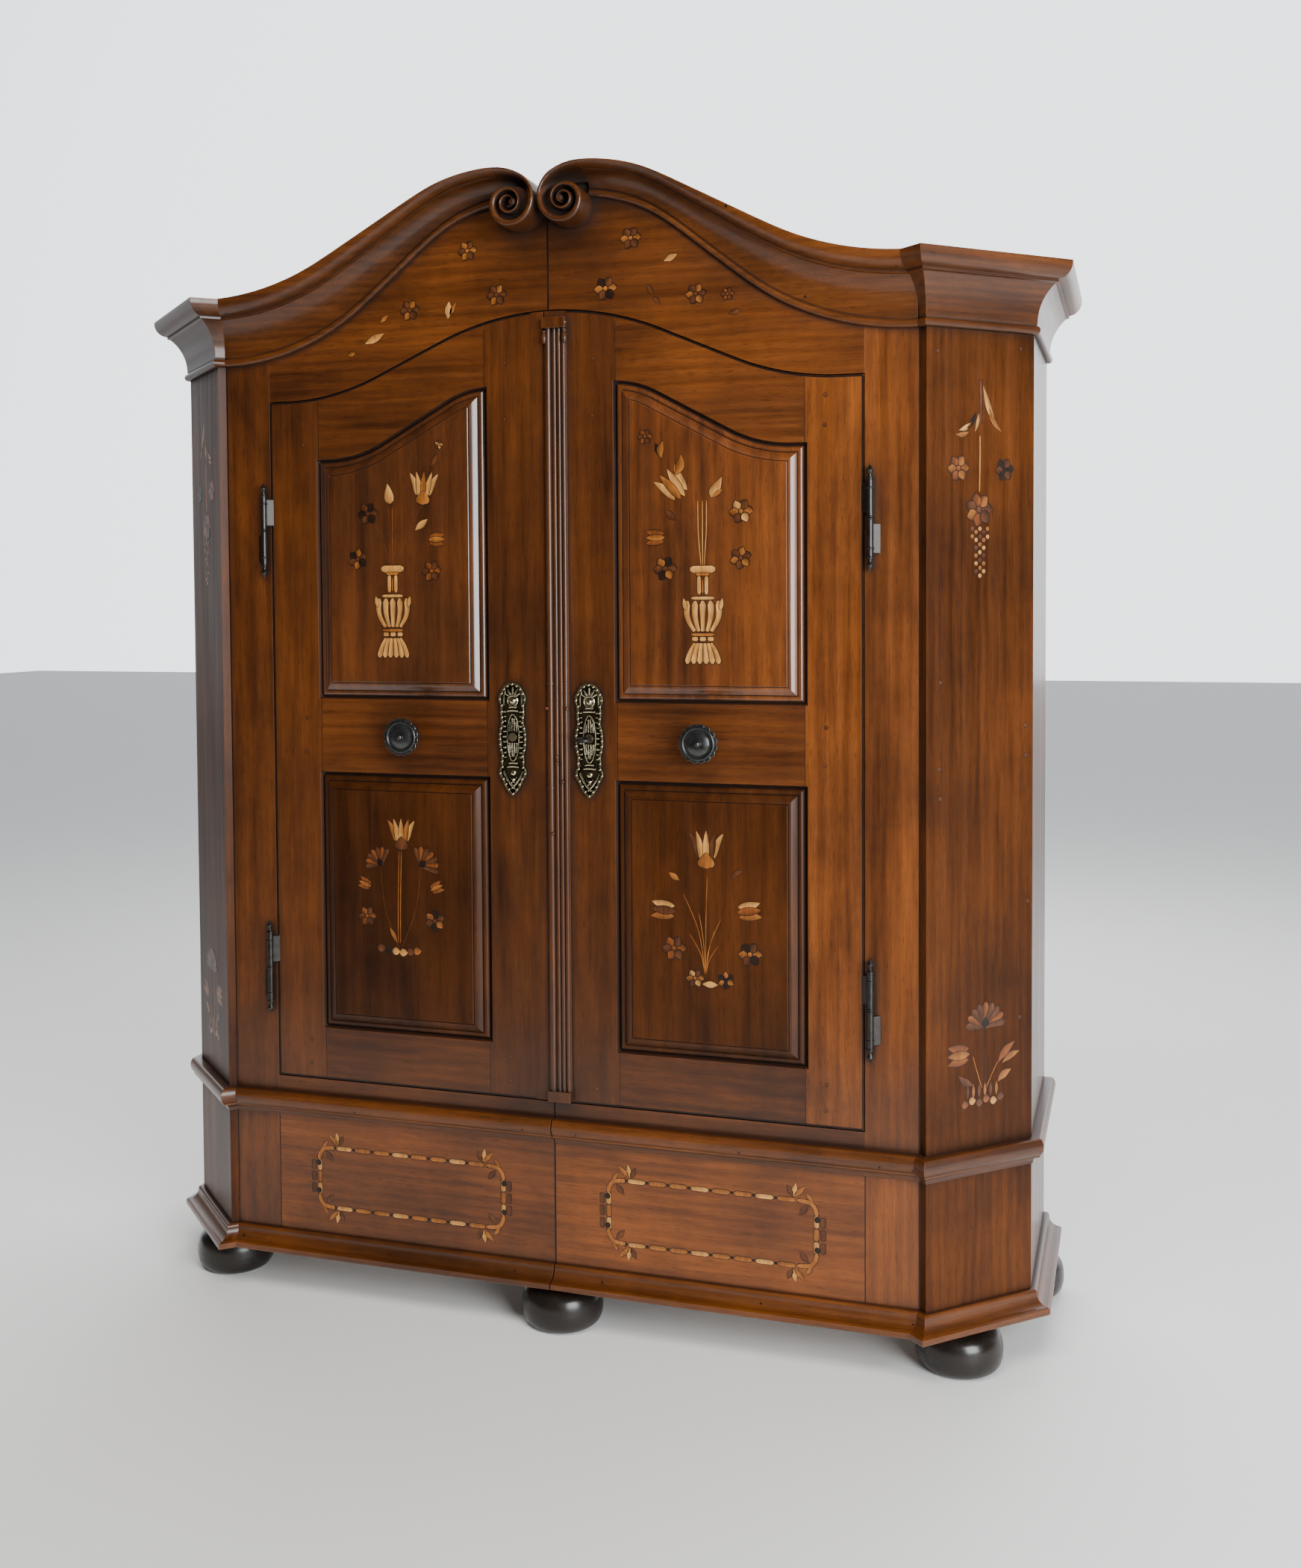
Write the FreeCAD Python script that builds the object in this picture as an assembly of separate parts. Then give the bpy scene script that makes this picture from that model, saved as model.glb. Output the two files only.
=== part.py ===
import FreeCAD, Part
import math
import os
from FreeCAD import Vector

# A baroque walnut wardrobe that comes apart into a left and a right half.
# The right half is described with x to the right, y back from the front face
# and z up from the floor; the left half is its mirror image.
# All lengths are in millimetres.

# Plan of the case
opening_half_width = 601.0
stile_width = 99.0
return_length = 16.0
return_angle = 42.0
cant_length = 239.0
cant_angle = 44.0
carcass_depth = 544.0
board_thickness = 24.0
half_seam = 1.2

# Levels of the case
foot_height = 88.0
sill_height = 55.0
sill_reveal = 30.0
waist_bottom = 364.0
cornice_bottom = 1887.0
cornice_height = 125.0
cornice_cover = 7.0
roof_drop = 38.0
roof_thickness = 20.0
floor_thickness = 24.0

# Frame and stops round the doors
door_thickness = 30.0
stop_clearance = 0.5
stop_lap = 13.0
stop_thickness = 22.0
back_thickness = 12.0
back_board_count = 8
back_board_gap = 0.6

# Mouldings
base_projection = 36.0
base_moulding_height = 40.0
waist_projection = 23.0
waist_height = 49.0
cornice_projection = 69.0
cornice_bead = 15.0
overrun = 40.0

# Scrolled pediment, upper edge and lower edge of its moulding
crest_x = 86.0
crest_rise = 206.2
crest_foot_inset = 4.0
crest_steepness_share = 1.4965
crest_radius_share = 0.3826
bead_crest_x = 60.0
bead_rise = 278.0
bead_foot_inset = 10.0
bead_steepness_share = 1.615
bead_radius_share = 0.376

# Volute
shoulder_radius = 113.4
shoulder_turn = 30.0
roll_radius = 53.6
scroll_radius = 49.0
scroll_shrink_share = 0.83
scroll_quarters = 9
scroll_band_share = 0.70
crown_band = 28.0
scroll_bed_depth = 55.0
scroll_eye_radius = 7.0
scroll_bed_margin = 3.0
frieze_inset = 6.0

# Doors
door_gap = 2.5
door_edge_gap = 2.0
meeting_edge = 8.0
outer_stile_width = 107.0
inner_stile_outer = 133.0
door_head_drop = 77.0
door_rise = 148.0
door_foot_inset = 41.0
door_steepness_share = 1.587
door_radius_share = 0.531
bottom_rail_height = 111.0
lower_panel_height = 511.0
middle_rail_height = 156.0
top_rail_height = 121.0
panel_crest_inset = 8.0
panel_rise = 128.0
panel_foot_inset = 22.0
panel_steepness_share = 1.400
panel_radius_share = 0.4215
edge_fall = 10.0
edge_width = 5.0

# Fielded panels
groove_depth = 10.0
groove_play = 0.3
panel_back_thickness = 10.0
panel_quirk = 1.5
panel_step_widths = (15.0, 13.0, 5.0)
panel_step_rises = (11.0, 6.0, 5.0)
panel_step_rounds = (9.5, 5.5, 3.5)

# Reeded strip that covers the meeting edge
strip_width = 46.0
strip_base = 5.0
strip_top_drop = 14.0
strip_foot_gap = 2.0
shaft_radius = 6.5
reed_radius = 4.2
strip_margin = 2.0
strip_block_height = 20.0
strip_block_depth = 16.0
ring_height = 5.0
ring_extra = 1.5
ring_levels = (1250.0, 1050.0)
reed_count = 3

# Bun feet
foot_radius = 80.0
foot_sole_radius = 54.0
foot_neck_radius = 42.0
foot_neck_height = 8.0
foot_belly_height = 36.0
corner_foot_outset = 60.0
corner_foot_y = 84.0
middle_foot_y = 36.0
rear_foot_side_inset = 34.0
rear_foot_back_inset = 94.0

# Lift-off hinges
hinge_outset = 11.0
hinge_forward = 10.0
barrel_radius = 6.0
barrel_half_length = 73.0
knuckle_gap = 0.3
pin_radius = 3.0
pin_play = 0.05
pin_length = 62.0
finial_height = 23.0
finial_radius = 6.3
finial_neck_radius = 3.4
blade_thickness = 3.0
blade_angle = 55.0
blade_reach = 36.0
blade_height = 52.0
blade_play = 0.2
upper_hinge_drop = 256.0
lower_hinge_rise = 225.0

# Locking
keyhole_x = 78.0
keyhole_rise = 5.0
plate_width = 56.0
plate_height = 217.0
plate_thickness = 2.5
plate_rim = 4.0
plate_relief = 7.5
plate_drop = 4.0
key_radius = 4.0
key_play = 0.3
key_stand = 26.0
key_collar_radius = 6.0
key_collar_length = 5.0
bow_radius = 14.0
bow_wire = 3.0
bit_length = 18.0
bit_thickness = 4.0
bit_clearance = 1.0
lock_width = 116.0
lock_height = 96.0
lock_depth = 20.0
lock_wall = 4.0
lock_inset = 5.0
bolt_height = 20.0
bolt_depth = 9.0
bolt_length = 84.0
bolt_play = 0.4
bolt_rest = 1.0
keep_inset = 12.0
keep_width = 32.0
keep_wall = 4.0
key_swing_radius = 20.0

# Shoot bolts on the back of the left door
shoot_x = 60.0
shoot_size = 8.0
shoot_length = 240.0
shoot_stand = 3.0
shoot_clearance = 2.0
shoot_throw = 18.0
shoot_play = 0.3
shoot_hole_play = 1.0
guide_height = 18.0
guide_wall = 5.0
guide_pitch = 150.0
guide_offset = 45.0
shoot_knob_radius = 4.5
shoot_knob_length = 12.0

# Knobs
knob_x = 300.0
knob_rise = 3.0
knob_stand = 50.0
knob_base_radius = 21.0
knob_base_thickness = 4.0
knob_neck_radius = 8.0
knob_flare_length = 18.0
rosette_radius = 37.0
rosette_petals = 16
petal_depth_share = 0.10
rosette_thickness = 5.0
rosette_ring_radius = 29.0
rosette_ring_wire = 2.0
rosette_dome_radius = 22.0
rosette_dome_rise = 5.0
boss_radius = 6.5

# Battens that join the halves
batten_length = 300.0
batten_width = 60.0
batten_thickness = 22.0
batten_y = 280.0

front_half_width = opening_half_width + stile_width
sill_top = waist_bottom + waist_height + sill_reveal
frame_thickness = door_thickness + stop_clearance
cornice_top = cornice_bottom + cornice_height
crest_z = cornice_top + crest_rise
crest_foot_x = front_half_width - crest_foot_inset
bead_crest_z = cornice_bottom + bead_rise
bead_foot_x = front_half_width - bead_foot_inset
door_foot_z = cornice_bottom - door_head_drop
door_foot_x = opening_half_width - door_foot_inset
door_crest_z = door_foot_z + door_rise
door_outer_edge = opening_half_width - door_edge_gap
outer_stile_inner = door_outer_edge - outer_stile_width
bottom_rail_top = sill_top + bottom_rail_height
middle_rail_bottom = bottom_rail_top + lower_panel_height
middle_rail_top = middle_rail_bottom + middle_rail_height
middle_rail_z = middle_rail_bottom + middle_rail_height / 2
panel_foot_z = door_foot_z - top_rail_height
panel_crest_z = panel_foot_z + panel_rise
panel_crest_x = inner_stile_outer - panel_crest_inset
panel_foot_x = outer_stile_inner - panel_foot_inset
hinge_x = opening_half_width + hinge_outset
upper_hinge_z = door_foot_z - upper_hinge_drop
lower_hinge_z = sill_top + lower_hinge_rise
keyhole_z = middle_rail_z + keyhole_rise
knob_z = middle_rail_z + knob_rise
body_top = cornice_top - cornice_cover
roof_underside = cornice_top - roof_drop
base_joint_z = waist_bottom + waist_height / 2

# Moulding sections, from the lower wall edge up and out, as shares of the
# projection and of the height; a second pair is the middle of a curve
base_section_shares = (
    ((0.97, 0.00), None),
    ((1.00, 0.04), None),
    ((1.00, 0.27), None),
    ((0.86, 0.33), None),
    ((0.32, 0.80), (0.49, 0.46)),
    ((0.32, 0.86), None),
    ((0.14, 1.00), (0.26, 0.96)),
    ((0.00, 1.00), None),
)
waist_section_shares = (
    ((0.13, 0.00), None),
    ((0.60, 0.29), (0.24, 0.19)),
    ((0.70, 0.29), None),
    ((0.70, 0.35), None),
    ((0.80, 0.97), (1.00, 0.66)),
    ((0.66, 1.00), None),
    ((0.00, 1.00), None),
)
cornice_bead_shares = (
    ((0.07, 0.000), None),
    ((0.07, 1.000), (0.17, 0.500)),
)
cornice_section_shares = (
    ((0.09, 0.035), None),
    ((0.55, 0.660), (0.207, 0.378)),
    ((0.64, 0.676), None),
    ((0.64, 0.716), None),
    ((1.00, 0.960), (0.89, 0.795)),
    ((1.00, 1.000), None),
    ((0.00, 1.000), None),
)
station_shares = (0.0, 0.06, 0.12, 0.19, 0.27, 0.36, 0.46, 0.56, 0.66, 0.75, 0.83, 0.90, 0.96, 1.0)

# Half outline of a lock plate from its top to its point, as shares of half
# the width and of the height; a second pair is the middle of a curve
plate_outline_shares = (
    ((0.78, 0.930), (0.48, 0.985)),
    ((0.84, 0.800), (1.00, 0.865)),
    ((0.80, 0.650), (0.88, 0.720)),
    ((0.80, 0.350), (1.00, 0.500)),
    ((0.82, 0.260), (0.86, 0.305)),
    ((0.74, 0.140), (1.00, 0.200)),
    ((0.00, 0.000), (0.42, 0.050)),
)


class Swan:
    """An S line: level, an arc over the crest, a ramp, an arc to the foot.

    The steepness share sets the ramp against the straight line from crest to foot,
    and the radius share gives the crest its part of the two radii together.
    """

    def __init__(self, crest_x, crest_z, foot_x, foot_z, steepness_share, radius_share):
        run = foot_x - crest_x
        fall = crest_z - foot_z
        slope = math.atan2(fall, run) * steepness_share
        sine = math.sin(slope)
        cosine = math.cos(slope)
        both = (run * sine - fall * cosine) / (1 - cosine)
        self.crest_x, self.crest_z = crest_x, crest_z
        self.foot_x, self.foot_z = foot_x, foot_z
        self.radius = both * radius_share
        self.foot_radius = both - self.radius
        self.ramp = math.tan(slope)
        self.ramp_start = crest_x + self.radius * sine
        self.ramp_end = foot_x - self.foot_radius * sine
        self.start_z = crest_z - self.radius * (1 - cosine)

    def height(self, x):
        if x <= self.crest_x:
            return self.crest_z
        if x < self.ramp_start:
            run = x - self.crest_x
            return self.crest_z - self.radius + math.sqrt(self.radius ** 2 - run ** 2)
        if x < self.ramp_end:
            return self.start_z - (x - self.ramp_start) * self.ramp
        if x < self.foot_x:
            run = self.foot_x - x
            drop = math.sqrt(self.foot_radius ** 2 - run ** 2)
            return self.foot_z + self.foot_radius - drop
        return self.foot_z

    def edges(self, x_from, x_to, lift=0.0, y=0.0):
        """Edges of the line between two places, raised by the lift."""
        marks = (self.crest_x, self.ramp_start, self.ramp_end, self.foot_x)
        stops = [x_from] + [m for m in marks if x_from < m < x_to] + [x_to]
        result = []
        for a, b in zip(stops, stops[1:]):
            middle = (a + b) / 2
            ends = [Vector(x, y, self.height(x) + lift) for x in (a, middle, b)]
            curved = self.crest_x < middle < self.ramp_start or self.ramp_end < middle < self.foot_x
            if curved:
                result.append(Part.Arc(*ends).toShape())
            else:
                result.append(Part.makeLine(ends[0], ends[2]))
        return result


pediment_top = Swan(crest_x, crest_z, crest_foot_x, cornice_top,
                    crest_steepness_share, crest_radius_share)
pediment_bead = Swan(bead_crest_x, bead_crest_z, bead_foot_x, cornice_bottom,
                     bead_steepness_share, bead_radius_share)
door_arch = Swan(0.0, door_crest_z, door_foot_x, door_foot_z,
                 door_steepness_share, door_radius_share)
panel_arch = Swan(panel_crest_x, panel_crest_z, panel_foot_x, panel_foot_z,
                  panel_steepness_share, panel_radius_share)


def save(node, shape):
    """Write one piece, with the origin on the floor under the middle front foot."""
    placed = shape.copy()
    placed.translate(Vector(0, -middle_foot_y, 0))
    placed.exportStep("parts/" + node + ".step")
    print(node, len(placed.Solids), placed.isValid(), round(placed.Volume))


def mirrored(shape):
    return shape.mirror(Vector(0, 0, 0), Vector(1, 0, 0))


def save_pair(name, shape):
    save(name + "_right", shape)
    save(name + "_left", mirrored(shape))


def box(x, y, z):
    """Box between two x, two y and two z values."""
    corner = Vector(min(x), min(y), min(z))
    return Part.makeBox(max(x) - min(x), max(y) - min(y), max(z) - min(z), corner)


def plan_prism(points, z_from, z_to):
    """Upright prism on a plan outline."""
    loop = [Vector(p.x, p.y, z_from) for p in points]
    face = Part.Face(Part.makePolygon(loop + loop[:1]))
    return face.extrude(Vector(0, 0, z_to - z_from))


def front_prism(edges, y_from, y_to):
    """Board on an outline in the front plane."""
    wire = Part.Wire(Part.sortEdges(edges)[0])
    face = Part.Face(wire)
    face.translate(Vector(0, y_from, 0))
    return face.extrude(Vector(0, y_to - y_from, 0))


def chain(points):
    """Straight edges through points of the front plane given as x and z."""
    places = [Vector(x, 0, z) for x, z in points]
    return [Part.makeLine(a, b) for a, b in zip(places, places[1:])]


def cylinder_y(radius, y_from, y_to, x, z):
    """Cylinder along y."""
    return Part.makeCylinder(radius, y_to - y_from, Vector(x, y_from, z), Vector(0, 1, 0))


def outer_corner():
    """Plan of the right corner: return, cant and side."""
    turn = math.radians(return_angle)
    cant = math.radians(cant_angle)
    start = Vector(front_half_width, 0, 0)
    tip = start + Vector(math.cos(turn), -math.sin(turn), 0) * return_length
    arris = tip + Vector(math.cos(cant), math.sin(cant), 0) * cant_length
    rear = Vector(arris.x, carcass_depth, 0)
    return [start, tip, arris, rear]


def inner_corner():
    """Inner faces of the corner boards: at the stile, at the arris, at the back."""
    start, tip, arris, rear = outer_corner()
    cant = math.radians(cant_angle)
    inward = Vector(-math.sin(cant), math.cos(cant), 0) * board_thickness
    along = Vector(math.cos(cant), math.sin(cant), 0)
    foot = tip + inward
    at_stile = foot + along * ((front_half_width - foot.x) / along.x)
    at_frame = foot + along * ((frame_thickness - foot.y) / along.y)
    inner_x = arris.x - board_thickness
    at_arris = foot + along * ((inner_x - foot.x) / along.x)
    at_back = Vector(inner_x, carcass_depth, 0)
    return at_stile, at_frame, at_arris, at_back


def mitre(before, after):
    """Direction of a mitre between two runs, for a projection of one."""
    total = before + after
    return total * (1 / (1 + before.dot(after)))


def section_edges(origin, outward, projection, parts):
    """Edges of a moulding section standing on the wall line.

    Each part is a bottom, a height and its share points, from the lowest up.
    """
    first = origin + Vector(0, 0, parts[0][0])
    last = first
    edges = []
    for bottom, height, shares in parts:
        def place(pair):
            rise = Vector(0, 0, bottom + height * pair[1])
            return origin + outward * (projection * pair[0]) + rise

        for end, middle in shares:
            there = place(end)
            if middle is None:
                edges.append(Part.makeLine(last, there))
            else:
                edges.append(Part.Arc(last, place(middle), there).toShape())
            last = there
    edges.append(Part.makeLine(last, first))
    return edges


def cornice_parts(bottom, height):
    """The bead keeps its size and the rest of the cornice takes what is left."""
    return [
        (bottom, cornice_bead, cornice_bead_shares),
        (bottom + cornice_bead, height - cornice_bead, cornice_section_shares),
    ]


def sticks(path, projection, parts):
    """Mitred lengths of a moulding along a plan path, one solid for each run."""
    runs = [(b - a).normalize() for a, b in zip(path, path[1:])]
    outs = [Vector(r.y, -r.x, 0) for r in runs]
    mitres = [outs[0]]
    mitres += [mitre(a, b) for a, b in zip(outs, outs[1:])]
    mitres.append(outs[-1])
    reach = projection + overrun
    low = parts[0][0] - overrun
    high = parts[-1][0] + parts[-1][1] + overrun
    result = []
    for i, run in enumerate(runs):
        a, b = path[i], path[i + 1]
        edges = section_edges(a - run * reach, outs[i], projection, parts)
        bar = Part.Face(Part.Wire(edges)).extrude(run * ((b - a).Length + 2 * reach))
        plan = [a, a + mitres[i] * reach, b + mitres[i + 1] * reach, b]
        result.append(bar.common(plan_prism(plan, low, high)))
    return result


def wall_path():
    """Line of the case walls from the seam to the back."""
    return [Vector(half_seam, 0, 0)] + outer_corner()


def carcass_boards():
    start, tip, arris, rear = outer_corner()
    at_stile, at_frame, at_arris, at_back = inner_corner()
    cant_plan = [start, tip, arris, at_arris, at_stile]
    save_pair("corner_board", plan_prism(cant_plan, base_joint_z, body_top))
    save_pair("base_corner_board", plan_prism(cant_plan, foot_height, base_joint_z))
    save_pair("side", plan_prism([arris, rear, at_back, at_arris], foot_height, body_top))
    stile_x = (opening_half_width, front_half_width)
    hinge_slots = [hinge_blade(z, 1, blade_play) for z in hinge_knuckle_centres(-1)]
    stile = box(stile_x, (0, frame_thickness), (base_joint_z, body_top))
    save_pair("stile", stile.cut(Part.makeCompound(hinge_slots)))
    save_pair("base_stile", box(stile_x, (0, frame_thickness), (foot_height, base_joint_z)))
    board_x = (half_seam, opening_half_width)
    board_top = sill_top - sill_height
    save_pair("base_board", box(board_x, (0, frame_thickness), (foot_height, board_top)))
    return at_frame, at_arris, at_back


def inner_plan(at_frame, at_arris):
    """Plan of the inside of one half, in front of the back boards."""
    back_y = carcass_depth - back_thickness
    return [
        Vector(half_seam, frame_thickness, 0),
        at_frame,
        at_arris,
        Vector(at_arris.x, back_y, 0),
        Vector(half_seam, back_y, 0),
    ]


def floor_and_roof(at_frame, at_arris, at_back):
    plan = inner_plan(at_frame, at_arris)
    floor = plan_prism(plan, foot_height, foot_height + floor_thickness)
    save("floor_boards", Part.makeCompound([floor, mirrored(floor)]))
    roof = plan_prism(plan, roof_underside, roof_underside + roof_thickness)
    save("roof_boards", Part.makeCompound([roof, mirrored(roof)]))
    width = 2 * at_back.x / back_board_count
    back_y = (carcass_depth - back_thickness, carcass_depth)
    boards = []
    for i in range(back_board_count):
        left = -at_back.x + i * width
        span = (left + back_board_gap / 2, left + width - back_board_gap / 2)
        boards.append(box(span, back_y, (foot_height, body_top)))
    save("back_boards", Part.makeCompound(boards))


def joining_battens():
    x = (-batten_length / 2, batten_length / 2)
    y = (batten_y - batten_width / 2, batten_y + batten_width / 2)
    roof_top = roof_underside + roof_thickness
    low = box(x, y, (foot_height - batten_thickness, foot_height))
    high = box(x, y, (roof_top, roof_top + batten_thickness))
    save("joining_battens", Part.makeCompound([low, high]))


def shoot_hole(low, high):
    """Mortise that takes a shoot bolt, in the left half."""
    half = shoot_size / 2 + shoot_hole_play
    y_middle = door_thickness + shoot_stand + shoot_size / 2
    return box((-shoot_x - half, -shoot_x + half), (y_middle - half, y_middle + half), (low, high))


def shoot_top():
    """Level of the stop's lower edge over the shoot bolt."""
    return door_arch.height(shoot_x) - stop_lap


def sills_and_head_rails():
    x = (half_seam, opening_half_width)
    back = frame_thickness + stop_thickness
    rail = box(x, (0, back), (sill_top - sill_height, sill_top))
    lip = box(x, (frame_thickness, back), (sill_top, sill_top + stop_lap))
    sill = rail.fuse(lip).removeSplitter()
    hole = shoot_hole(sill_top - shoot_throw, sill_top + stop_lap + overrun)
    save("sills", Part.makeCompound([sill, mirrored(sill).cut(hole)]))
    lower = door_arch.edges(x[0], x[1], -stop_lap)
    ends = [door_arch.height(v) - stop_lap for v in x]
    closing = chain([(x[1], ends[1]), (x[1], roof_underside), (x[0], roof_underside), (x[0], ends[0])])
    rail = front_prism(lower + closing, frame_thickness, back)
    hole = shoot_hole(shoot_top() - overrun, shoot_top() + shoot_throw + shoot_clearance)
    save("head_rails", Part.makeCompound([rail, mirrored(rail).cut(hole)]))


def turn_point(centre, radius, angle):
    """Point of a circle in the front plane."""
    a = math.radians(angle)
    return Vector(centre.x + radius * math.cos(a), 0, centre.z + radius * math.sin(a))


def turn_edge(centre, radius, start, sweep):
    """Arc in the front plane by its centre, radius, start and sweep in degrees."""
    places = [turn_point(centre, radius, start + sweep * s) for s in (0, 0.5, 1)]
    return Part.Arc(*places).toShape()


def shoulder_centres():
    """Centres of the two arcs that carry the crest down to the volute."""
    shoulder = Vector(crest_x, 0, crest_z - shoulder_radius)
    roll = turn_point(shoulder, shoulder_radius - roll_radius, 90 + shoulder_turn)
    return shoulder, roll


def friezes():
    shoulder, roll = shoulder_centres()
    roll_inner = roll_radius - frieze_inset
    notch = turn_point(roll, roll_inner, 180)
    x = (half_seam, opening_half_width)
    lower = door_arch.edges(x[0], x[1], door_gap)
    upper = pediment_top.edges(crest_x, x[1], -frieze_inset)
    scroll = [
        turn_edge(shoulder, shoulder_radius - frieze_inset, 90, shoulder_turn),
        turn_edge(roll, roll_inner, 90 + shoulder_turn, 90 - shoulder_turn),
    ]
    right = chain([
        (x[1], door_arch.height(x[1]) + door_gap),
        (x[1], pediment_top.height(x[1]) - frieze_inset),
    ])
    left = chain([
        (notch.x, notch.z),
        (x[0], notch.z),
        (x[0], door_arch.height(x[0]) + door_gap),
    ])
    save_pair("frieze", front_prism(lower + right + upper + scroll + left, 0, frame_thickness))


def cornices():
    """Swept front moulding to the foot of its curve, then straight mitred lengths."""
    outward = Vector(0, -1, 0)
    wires = []
    for share in station_shares:
        x = crest_x + share * (crest_foot_x - crest_x)
        low = pediment_bead.height(x)
        parts = cornice_parts(low, pediment_top.height(x) - low)
        edges = section_edges(Vector(x, 0, 0), outward, cornice_projection, parts)
        wires.append(Part.Wire(edges))
    swept = Part.makeLoft(wires, True, False)
    path = [Vector(crest_foot_x, 0, 0)] + outer_corner()
    lengths = sticks(path, cornice_projection, cornice_parts(cornice_bottom, cornice_height))
    front = swept.fuse(lengths[0])
    save_pair("cornice", Part.makeCompound([front] + lengths[1:]))


def spiral(scale):
    """Arcs of a spiral of quarter turns that shrinks to its pole, scaled about the pole."""
    shrink = scroll_shrink_share
    first = turn_point(shoulder_centres()[1], roll_radius - scroll_radius, 180)
    step = scroll_radius * (1 - shrink) / (1 + shrink ** 2)
    pole = first + Vector(-step, 0, -step * shrink)
    edges = []
    centre, radius, angle = first, scroll_radius, 180
    for quarter in range(scroll_quarters):
        around = pole + (centre - pole) * scale
        edges.append(turn_edge(around, radius * scale, angle, 90))
        angle += 90
        smaller = radius * shrink
        centre = turn_point(centre, radius - smaller, angle)
        radius = smaller
    return edges, pole


def volutes():
    shoulder, roll = shoulder_centres()
    outer, pole = spiral(1.0)
    inner, _ = spiral(scroll_band_share)
    start_top = Vector(crest_x, 0, crest_z)
    start_low = Vector(crest_x, 0, crest_z - crown_band)
    knee_width = (crown_band + scroll_radius * (1 - scroll_band_share)) / 2
    knee = turn_point(shoulder, shoulder_radius - knee_width, 90 + shoulder_turn)
    throat = inner[0].Vertexes[0].Point
    band = [
        turn_edge(shoulder, shoulder_radius, 90, shoulder_turn),
        turn_edge(roll, roll_radius, 90 + shoulder_turn, 90 - shoulder_turn),
    ] + outer + inner
    band.append(Part.makeLine(outer[-1].Vertexes[-1].Point, inner[-1].Vertexes[-1].Point))
    band.append(Part.makeLine(start_top, start_low))
    band.append(Part.Arc(start_low, knee, throat).toShape())
    relief = front_prism(band, -cornice_projection, 0)
    bed = cylinder_y(scroll_radius - scroll_bed_margin, -scroll_bed_depth, 0, pole.x, pole.z)
    eye = cylinder_y(scroll_eye_radius, -cornice_projection, 0, pole.x, pole.z)
    under_bead = pediment_bead.height(pole.x + scroll_radius)
    depth = (-cornice_projection - overrun, overrun)
    cornice_room = box((crest_x, crest_x + overrun), depth, (under_bead, crest_z))
    solid = relief.fuse([bed, eye]).cut(cornice_room).removeSplitter()
    save_pair("volute", solid)


def mouldings():
    path = wall_path()
    base = [(foot_height, base_moulding_height, base_section_shares)]
    waist = [(waist_bottom, waist_height, waist_section_shares)]
    save_pair("base_moulding", Part.makeCompound(sticks(path, base_projection, base)))
    save_pair("waist_moulding", Part.makeCompound(sticks(path, waist_projection, waist)))


def bend(start, knee, end):
    """Smooth edge that leaves the start and meets the end along lines through the knee."""
    curve = Part.BezierCurve()
    curve.setPoles([start, knee, end])
    return curve.toShape()


def foot(x, y):
    """Flattened bun turned about an upright axis."""
    sole = Vector(foot_sole_radius, 0, 0)
    belly = Vector(foot_radius, 0, foot_belly_height)
    neck_low = Vector(foot_neck_radius, 0, foot_height - foot_neck_height)
    neck_top = Vector(foot_neck_radius, 0, foot_height)
    wire = Part.Wire([
        Part.makeLine(Vector(0, 0, 0), sole),
        bend(sole, Vector(foot_radius, 0, 0), belly),
        bend(belly, Vector(foot_radius, 0, neck_low.z), neck_low),
        Part.makeLine(neck_low, neck_top),
        Part.makeLine(neck_top, Vector(0, 0, foot_height)),
        Part.makeLine(Vector(0, 0, foot_height), Vector(0, 0, 0)),
    ])
    solid = Part.Face(wire).revolve(Vector(0, 0, 0), Vector(0, 0, 1), 360)
    solid.translate(Vector(x, y, 0))
    return solid


def feet():
    corner_x = front_half_width + corner_foot_outset
    rear_x = outer_corner()[3].x - rear_foot_side_inset
    rear_y = carcass_depth - rear_foot_back_inset
    places = [(0, middle_foot_y), (0, rear_y)]
    for side in (-1, 1):
        places.append((side * corner_x, corner_foot_y))
        places.append((side * rear_x, rear_y))
    save("bun_feet", Part.makeCompound([foot(x, y) for x, y in places]))


def hinge_knuckle_centres(half):
    """Middle heights of the two upper (1) or lower (-1) knuckles of one door."""
    shift = half * barrel_half_length / 2
    return [upper_hinge_z + shift, lower_hinge_z + shift]


def hinge_blade(z, towards, play):
    """Blade of a knuckle, slanting back into the wood: 1 to the frame, -1 to the door."""
    thick = blade_thickness + 2 * play
    tall = blade_height + 2 * play
    blade = box((0, blade_reach + play), (-thick / 2, thick / 2), (-tall / 2, tall / 2))
    blade.rotate(Vector(0, 0, 0), Vector(0, 0, 1), 90 - towards * blade_angle)
    blade.translate(Vector(hinge_x, -hinge_forward, z))
    return blade


def finial(z, up):
    """Turned button at the end of a barrel."""
    neck = Vector(finial_neck_radius, 0, 0)
    belly = Vector(finial_radius, 0, finial_height / 2)
    tip = Vector(0, 0, finial_height)
    wire = Part.Wire([
        Part.makeLine(Vector(0, 0, 0), neck),
        Part.makeLine(neck, Vector(finial_neck_radius, 0, finial_height / 5)),
        Part.makeLine(Vector(finial_neck_radius, 0, finial_height / 5), belly),
        Part.makeLine(belly, tip),
        Part.makeLine(tip, Vector(0, 0, 0)),
    ])
    solid = Part.Face(wire).revolve(Vector(0, 0, 0), Vector(0, 0, 1), 360)
    if up < 0:
        solid.rotate(Vector(0, 0, 0), Vector(1, 0, 0), 180)
    solid.translate(Vector(hinge_x, -hinge_forward, z))
    return solid


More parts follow.
